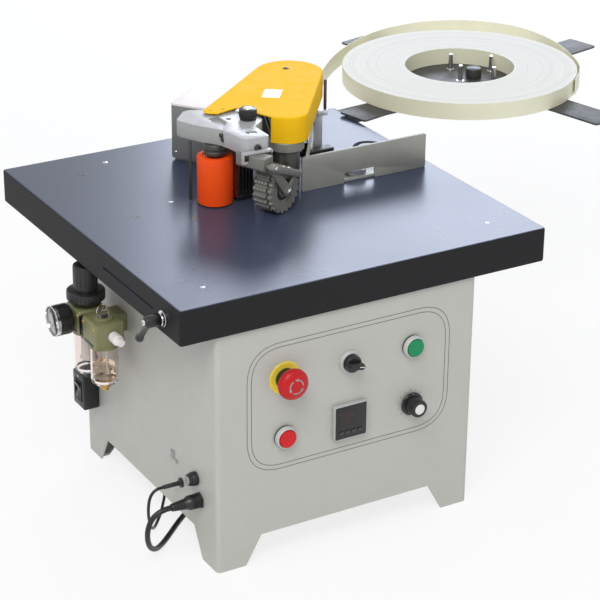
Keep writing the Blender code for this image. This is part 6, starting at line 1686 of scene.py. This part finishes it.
# ================================================================ gluing head
@dataclass
class GluingHead:
    """Yellow cover, head plate, drive, glue roller, chamber and heated tank."""

    front: tuple[float, float, float] = (0.302, 0.276, 0.026)
    back: tuple[float, float, float] = (0.385, 0.42, 0.0465)
    lobe: tuple[float, float, float] = (0.2155, 0.328, 0.0105)
    base: float = 0.442
    top: float = 0.478
    wall: float = 0.0015
    glue: tuple[float, float] = (0.298, 0.2745)
    motor: tuple[float, float] = (0.372, 0.432)
    tank: tuple[float, float] = (0.2638, 0.4421)
    tank_turn: float = 36.87

    def cover(self) -> None:
        """Chain cover with a rounded rim, an open notch, bolts and a blank label."""
        circles = [self.front, self.back, self.lobe]
        cover = Form.plate(wrap(circles, steps=36), self.base, self.top)
        rim = [e for e in cover.bm.edges if all(v.co.z > self.top - 1e-6 for v in e.verts)]
        bmesh.ops.bevel(cover.bm, geom=rim, offset=0.0022, offset_type="OFFSET", segments=4, profile=0.5,
            affect="EDGES", clamp_overlap=True, material=-1)
        cover.carve(Form.plate(wrap(circles, self.wall, 36), self.base - 0.01, self.top - self.wall))
        cover.carve(Form.plate(rounded([(0.21, 0.31), (0.2244, 0.315), (0.2519, 0.3213), (0.2628, 0.2885),
            (0.2733, 0.266), (0.276, 0.23), (0.21, 0.23)], [0.001, 0.004, 0.006, 0.008, 0.006, 0.001,
            0.001]), self.base - 0.01, self.top + 0.01))
        cover.carve(Form.box((0.1655, 0.268, self.base - 0.01), (0.25, 0.373, self.top - self.wall)))
        cover.carve(Form.plate(rectangle(0.007, 0.0026, 0.0012), self.base,
            self.top + 0.01).turn(-16).move(0.2135, 0.327, 0), Form.plate(rectangle(0.007, 0.0026,
            0.0012), self.base, self.top + 0.01).turn(14).move(0.231, 0.324, 0))
        cover.piece("cover_shell", YELLOW, "frame", ["chain_cover"], "yellow_paint", spot(0, 0, 0), 40)
        pan_screw(0.0046).scale(1, 1, 0.5).move(0.386, 0.43, self.top).piece("cover_bolt", DARK_STEEL,
            "frame", place=spot(0, 0, 0))
        Form.plate(rectangle(0.034, 0.024, 0.001), 0.00002, 0.00015).turn(53).move(0.3175, 0.347,
            self.top).piece("cover_label", BLANK_LABEL, "frame", place=spot(0, 0, 0))
        # Black sheet just under the cover's top: painted shade for the dark hollow inside the cover, seen
        # through its open notch.
        painted_shade_plate = Form.plate(wrap([self.front, self.back], 0.0022, 24), self.top - self.wall - 0.0006,
            self.top - self.wall - 0.0001)
        painted_shade_plate.carve(Form.plate([(0.21, 0.31), (0.2244, 0.315), (0.2519, 0.3213), (0.2628, 0.2885),
            (0.2733, 0.266), (0.276, 0.23), (0.21, 0.23)], self.base - 0.01, self.top + 0.01))
        painted_shade_plate.piece("cover_painted_shade", BLACK, "frame", place=spot(0, 0, 0))

    def drive(self) -> None:
        """Head plate with its collar, gear motor with its screws, sprockets and chain."""
        plate = Form.plate(wrap([self.front, self.back], 0.003, 28), 0.443, 0.447, 0.0004)
        plate.carve(Form.drum(0.0065, 0.43, 0.46, 0, 28).move(*self.motor, 0), Form.drum(0.019, 0.42,
            0.46, 0, 40).move(*self.glue, 0))
        plate.add(Form.turned([(0.0225, 0.4417), (0.0235, 0.4407), (0.0235, 0.43), (0.0215, 0.4282),
            (0.0065, 0.428), (0.0065, 0.4468), (0.019, 0.4468), (0.019, 0.4417)], 56).move(*self.glue, 0))
        plate.piece("head_bearing", COLLAR, "frame", ["head_plate"], "dull_steel", spot(0, 0, 0))
        motor = Form.turned([(0, 0.417), (0.0068, 0.417), (0.0068, 0.4417), (0.032, 0.4417),
            (0.034, 0.439), (0.034, 0.428), (0.033, 0.427), (0.033, 0.424), (0.034, 0.423), (0.034, 0.38),
            (0.036, 0.38), (0.036, 0.3703), (0, 0.3703)], 64)
        motor.piece("motor_case", MOTOR, "frame", ["gear_motor"], "motor_grey", spot(*self.motor, 0))
        screws = Form()
        for i in range(4):
            screws.add(cap_screw(0.0018, 0.0012).move(0.0345 * math.cos(math.radians(30 + 90 * i)),
                0.0345 * math.sin(math.radians(30 + 90 * i)), 0.38))
        screws.piece("motor_screws", CHROME, "frame", place=spot(*self.motor, 0))
        for node in ("motor_sprocket", "glue_sprocket", "drive_chain"):
            dress(node, DARK_STEEL)

    def roller(self) -> None:
        """Glue roller on its shaft, and the chamber with its pipe and screws."""
        Form.turned([(0, 0.464), (0.0054, 0.464), (0.006, 0.463), (0.006, 0.427), (0.017, 0.427),
            (0.0175, 0.4262), (0.0175, 0.3728), (0.017, 0.372), (0, 0.372)], 64).piece("glue_drum",
            DARK_STEEL, "glue_roller", ["glue_roller"], "dull_steel", spot(*self.glue, 0))
        chamber = Form.box((0.276, 0.2775, 0.3703), (0.315, 0.3075, 0.4277), 0.0012)
        chamber.carve(Form.drum(0.0185, 0.36, 0.44, 0, 56).move(*self.glue, 0))
        pipe = Form.turned([(0, 0.104), (0.0044, 0.104), (0.005, 0.103), (0.005, 0.007), (0.007, 0.0065),
            (0.007, 0.0), (0, 0)], 32)
        chamber.add(pipe.turn(-90, "X").turn(9.2).move(0.301, 0.3078, 0.386))
        chamber.piece("chamber_block", PLATE, "frame", ["glue_chamber"], "dull_steel", spot(0, 0, 0))
        screws = Form()
        for z in (0.38, 0.418):
            screws.add(cap_screw(0.0022, 0.0016).put(Facing.LEFT.turn()).move(0.276, 0.299, z),
                cap_screw(0.0022, 0.0016).put(Facing.RIGHT.turn()).move(0.315, 0.299, z))
        screws.piece("chamber_screws", CHROME, "frame", place=spot(0, 0, 0))

    def heated_tank(self) -> None:
        """Tank with its foot and a hinged lid."""
        place = spot(*self.tank, 0, spin=math.radians(self.tank_turn))
        tank = Form.plate(rectangle(0.075, 0.066, 0.0085, 6), 0.374, 0.448, 0.0007)
        tank.carve(Form.plate(rectangle(0.069, 0.06, 0.005), 0.377, 0.46))
        tank.add(Form.plate(rectangle(0.067, 0.058, 0.005), 0.3703, 0.3738))
        tank.piece("tank_body", TANK, "frame", ["glue_tank"], "tank_grey", place)
        trim = Form()
        for side in (-1, 1):
            trim.add(pan_screw(0.002).put(Facing.LEFT.turn()).move(-0.0374, side * 0.024, 0.383))
            trim.add(pan_screw(0.002).put(Facing.FRONT.turn()).move(side * 0.027, -0.0329, 0.383))
        trim.piece("tank_screws", CHROME, "frame", place=place)
        lid = Form.plate(rectangle(0.075, 0.066, 0.0085, 6), 0.4483, 0.452, 0.0009, 3)
        lid.piece("lid_plate", LID, "tank_lid", ["tank_lid"], "lid_cream", place)
        hinge = Form()
        for side in (-1, 1):
            hinge.add(Form.drum(0.002, -0.007, 0.007, 0.0003, 20).turn(90, "X").move(0.0378, side * 0.018,
                0.448))
        hinge.piece("lid_hinges", STEEL, "frame", place=place)

    def build(self) -> None:
        """Build the head."""
        self.cover()
        self.drive()
        self.roller()
        self.heated_tank()


# ================================================================ tape supply
@dataclass
class TapeSupply:
    """Cross tray on its support arm, the coil of edging and its strand to the head."""

    spindle: tuple[float, float] = (0.7684, 0.525)
    coil: tuple[float, float] = (0.7386, 0.5204)
    top: float = 0.376
    outer: float = 0.176
    inner: float = 0.082
    tape: float = 0.025
    strand: Sequence[tuple[float, float]] = ((0.8491, 0.3789), (0.8945, 0.4285), (0.9215, 0.495),
        (0.936, 0.57), (0.924, 0.645), (0.88, 0.701), (0.815, 0.73), (0.746, 0.73), (0.6907, 0.7125),
        (0.64, 0.683), (0.593, 0.647), (0.547, 0.6), (0.5, 0.54), (0.4605, 0.478), (0.403, 0.39),
        (0.355, 0.318), (0.3215, 0.27))

    def tray(self) -> None:
        """Cross of two bars with rounded ends, a centre hole and pins."""
        place = spot(*self.spindle, 0, spin=math.radians(13.5))
        h, r = 0.026, 0.26
        outline = rounded([(-r, -h), (-h, -h), (-h, -r), (h, -r), (h, -h), (r, -h), (r, h), (h, h),
            (h, r), (-h, r), (-h, h), (-r, h)], [0.005, 0.003, 0.005, 0.005, 0.003, 0.005, 0.005, 0.003,
            0.005, 0.005, 0.003, 0.005])
        cross = Form.plate(outline, self.top - 0.003, self.top, 0.0005)
        cross.carve(Form.drum(0.0085, 0.36, 0.39, 0, 36))
        cross.piece("tray_cross", CHARCOAL, "tape_tray", ["tape_tray"], "charcoal_paint", place)
        Form.ring(0.104, 0.0085, self.top - 0.0028, self.top - 0.0002, 0.0003, 72).piece("tray_disc",
            CHARCOAL, "tape_tray", place=place)
        pins = Form()
        for index, distance in enumerate((0.039, 0.0475, 0.03, 0.04)):
            pin = Form.turned([(0, 0.0258), (0.0024, 0.0258), (0.0034, 0.0248), (0.0034, 0.0022),
                (0.006, 0.002), (0.0062, 0.0001), (0, 0.0001)], 28)
            pins.add(pin.move(distance, 0, self.top).turn(90 * index))
        pins.piece("tray_pins", CHROME, "tape_tray", place=place)
        dress("tray_support", CHARCOAL)
        knob = Form.turned([(0, 0.3918), (0.009, 0.3918), (0.0112, 0.3908), (0.012, 0.389),
            (0.012, 0.3772), (0.008, 0.377), (0.008, 0.3727), (0.0178, 0.3727), (0.018, 0.372),
            (0.018, 0.3663), (0.008, 0.3663), (0.008, 0.354), (0, 0.354)], 48)
        knob.carve(Form.drum(0.0007, 0.378, 0.4, 0.0, 8).move(0.0122, 0, 0).around(28))
        knob.piece("tray_hub", DARK_STEEL, "frame", ["tray_spindle"], "dull_steel", spot(*self.spindle,
            0))
        Form.plate(rectangle(0.042, 0.07, 0.003), 0, 0.001, 0.0003).put(Facing.RIGHT.turn()).move(0.5262,
            0.4985, 0.344).piece("support_face", CHARCOAL, "frame", place=spot(0, 0, 0))

    def wound_coil(self) -> None:
        """The coil, its flat sides finely stepped by the edges of the turns."""
        low, high = self.top + GAP, self.top + GAP + self.tape
        steps = 94
        rise = [0.00022 * (0.5 + 0.5 * math.sin(i * 2.4) * math.cos(i * 0.7)) for i in range(steps + 1)]
        radii = [self.inner + (self.outer - self.inner) * i / steps for i in range(steps + 1)]
        profile = [(r, high - d) for r, d in zip(radii, rise)] + [(r, low + d) for r,
            d in zip(radii[::-1], rise[::-1])]
        centre = CORNER + Vector((*self.coil, 0))
        finish = TapeCoil("tape_cream_wound", CREAM.colour, 0.44, mottle=0.02, centre=tuple(centre))
        Form.turned(profile, 144).piece("tape_roll", finish, "tape_coil", ["tape_coil"], "tape_cream",
            spot(*self.coil, 0), 60)

    def loose_strand(self) -> None:
        """The strip that runs round the coil and in to the glue roller."""
        route = smooth_route([(x, y, self.top + 0.001) for x, y in self.strand], 0.006)
        form = Form()
        verts = [form.bm.verts.new(p) for p in route]
        edges = [form.bm.edges.new(pair) for pair in zip(verts, verts[1:])]
        made = bmesh.ops.extrude_edge_only(form.bm, edges=edges)
        bmesh.ops.translate(form.bm, vec=(0, 0, self.tape), verts=[v for v in made["geom"]
            if isinstance(v, bmesh.types.BMVert)])
        bmesh.ops.recalc_face_normals(form.bm, faces=form.bm.faces)
        bmesh.ops.solidify(form.bm, geom=form.bm.faces[:], thickness=0.0007)
        bmesh.ops.recalc_face_normals(form.bm, faces=form.bm.faces)
        form.piece("tape_strip", CREAM, "frame", ["tape_strand"], "tape_cream", spot(0, 0, 0))

    def build(self) -> None:
        """Build tray, coil and strand."""
        self.tray()
        self.wound_coil()
        self.loose_strand()


@dataclass
class TapeGuide:
    """Bright guide plate, its foot, brown rod, pin and thumbscrew behind the fence."""

    x: float = 0.4075
    y: float = 0.388
    floor: float = 0.3703

    def build(self) -> None:
        """Build the guide."""
        guide = Form.plate(rounded([(self.x, self.floor), (self.x + 0.013, self.floor), (self.x + 0.013,
            0.423), (self.x, 0.423)], [0, 0, 0.002, 0.002]), -0.003, 0.0,
            0.0004).put(Facing.FRONT.turn()).move(0, self.y, 0)
        Form.plate(rounded([(0.38, 0.37), (0.43, 0.37), (0.43, 0.3846), (0.38, 0.3846)], 0.003),
            self.floor, self.floor + 0.004, 0.0005).piece("guide_foot", DARK_STEEL, "frame",
            place=spot(0, 0, 0))
        guide.add(Form.box((0.4115, 0.386, 0.417), (0.428, 0.394, 0.425), 0.0008))
        guide.piece("guide_plate", GUIDE, "frame", ["tape_guide"], "bright_steel", spot(0, 0, 0))
        Form.turned([(0, 0.4685), (0.0018, 0.4685), (0.0022, 0.4678), (0.0022, 0.424), (0, 0.424)],
            24).piece("guide_rod", BROWN, "frame", place=spot(0.4245, 0.3885, 0))
        Form.turned([(0, 0.43), (0.001, 0.4298), (0.0012, 0.429), (0.0012, 0.374), (0, 0.374)],
            20).piece("guide_pin", CHROME, "frame", place=spot(0.396, 0.388, 0))
        screw = Form.turned([(0, 0.3873), (0.005, 0.3873), (0.0055, 0.3867), (0.0055, 0.379),
            (0.004, 0.378), (0.004, 0.3743), (0, 0.3743)], 40)
        screw.carve(Form.drum(0.0005, 0.378, 0.39, 0.0, 8).move(0.0057, 0, 0).around(20))
        screw.piece("guide_thumbscrew", BLACK, "frame", place=spot(0.387, 0.378, 0))


def main() -> None:
    """Build every sub-assembly in order."""
    logging.basicConfig(level=logging.INFO, format="%(message)s")
    Studio().build()
    for assembly in (Leads(), Cabinet(), WorkTable(), ControlPanel(), SideFittings(), ClampLever(),
            AirUnit(), Fence(), PressingHead(), FeedWheel(), Cutter(), GluingHead(), TapeSupply(),
            TapeGuide()):
        LOG.info("building %s", type(assembly).__name__)
        assembly.build()


if __name__ == "__main__":
    main()
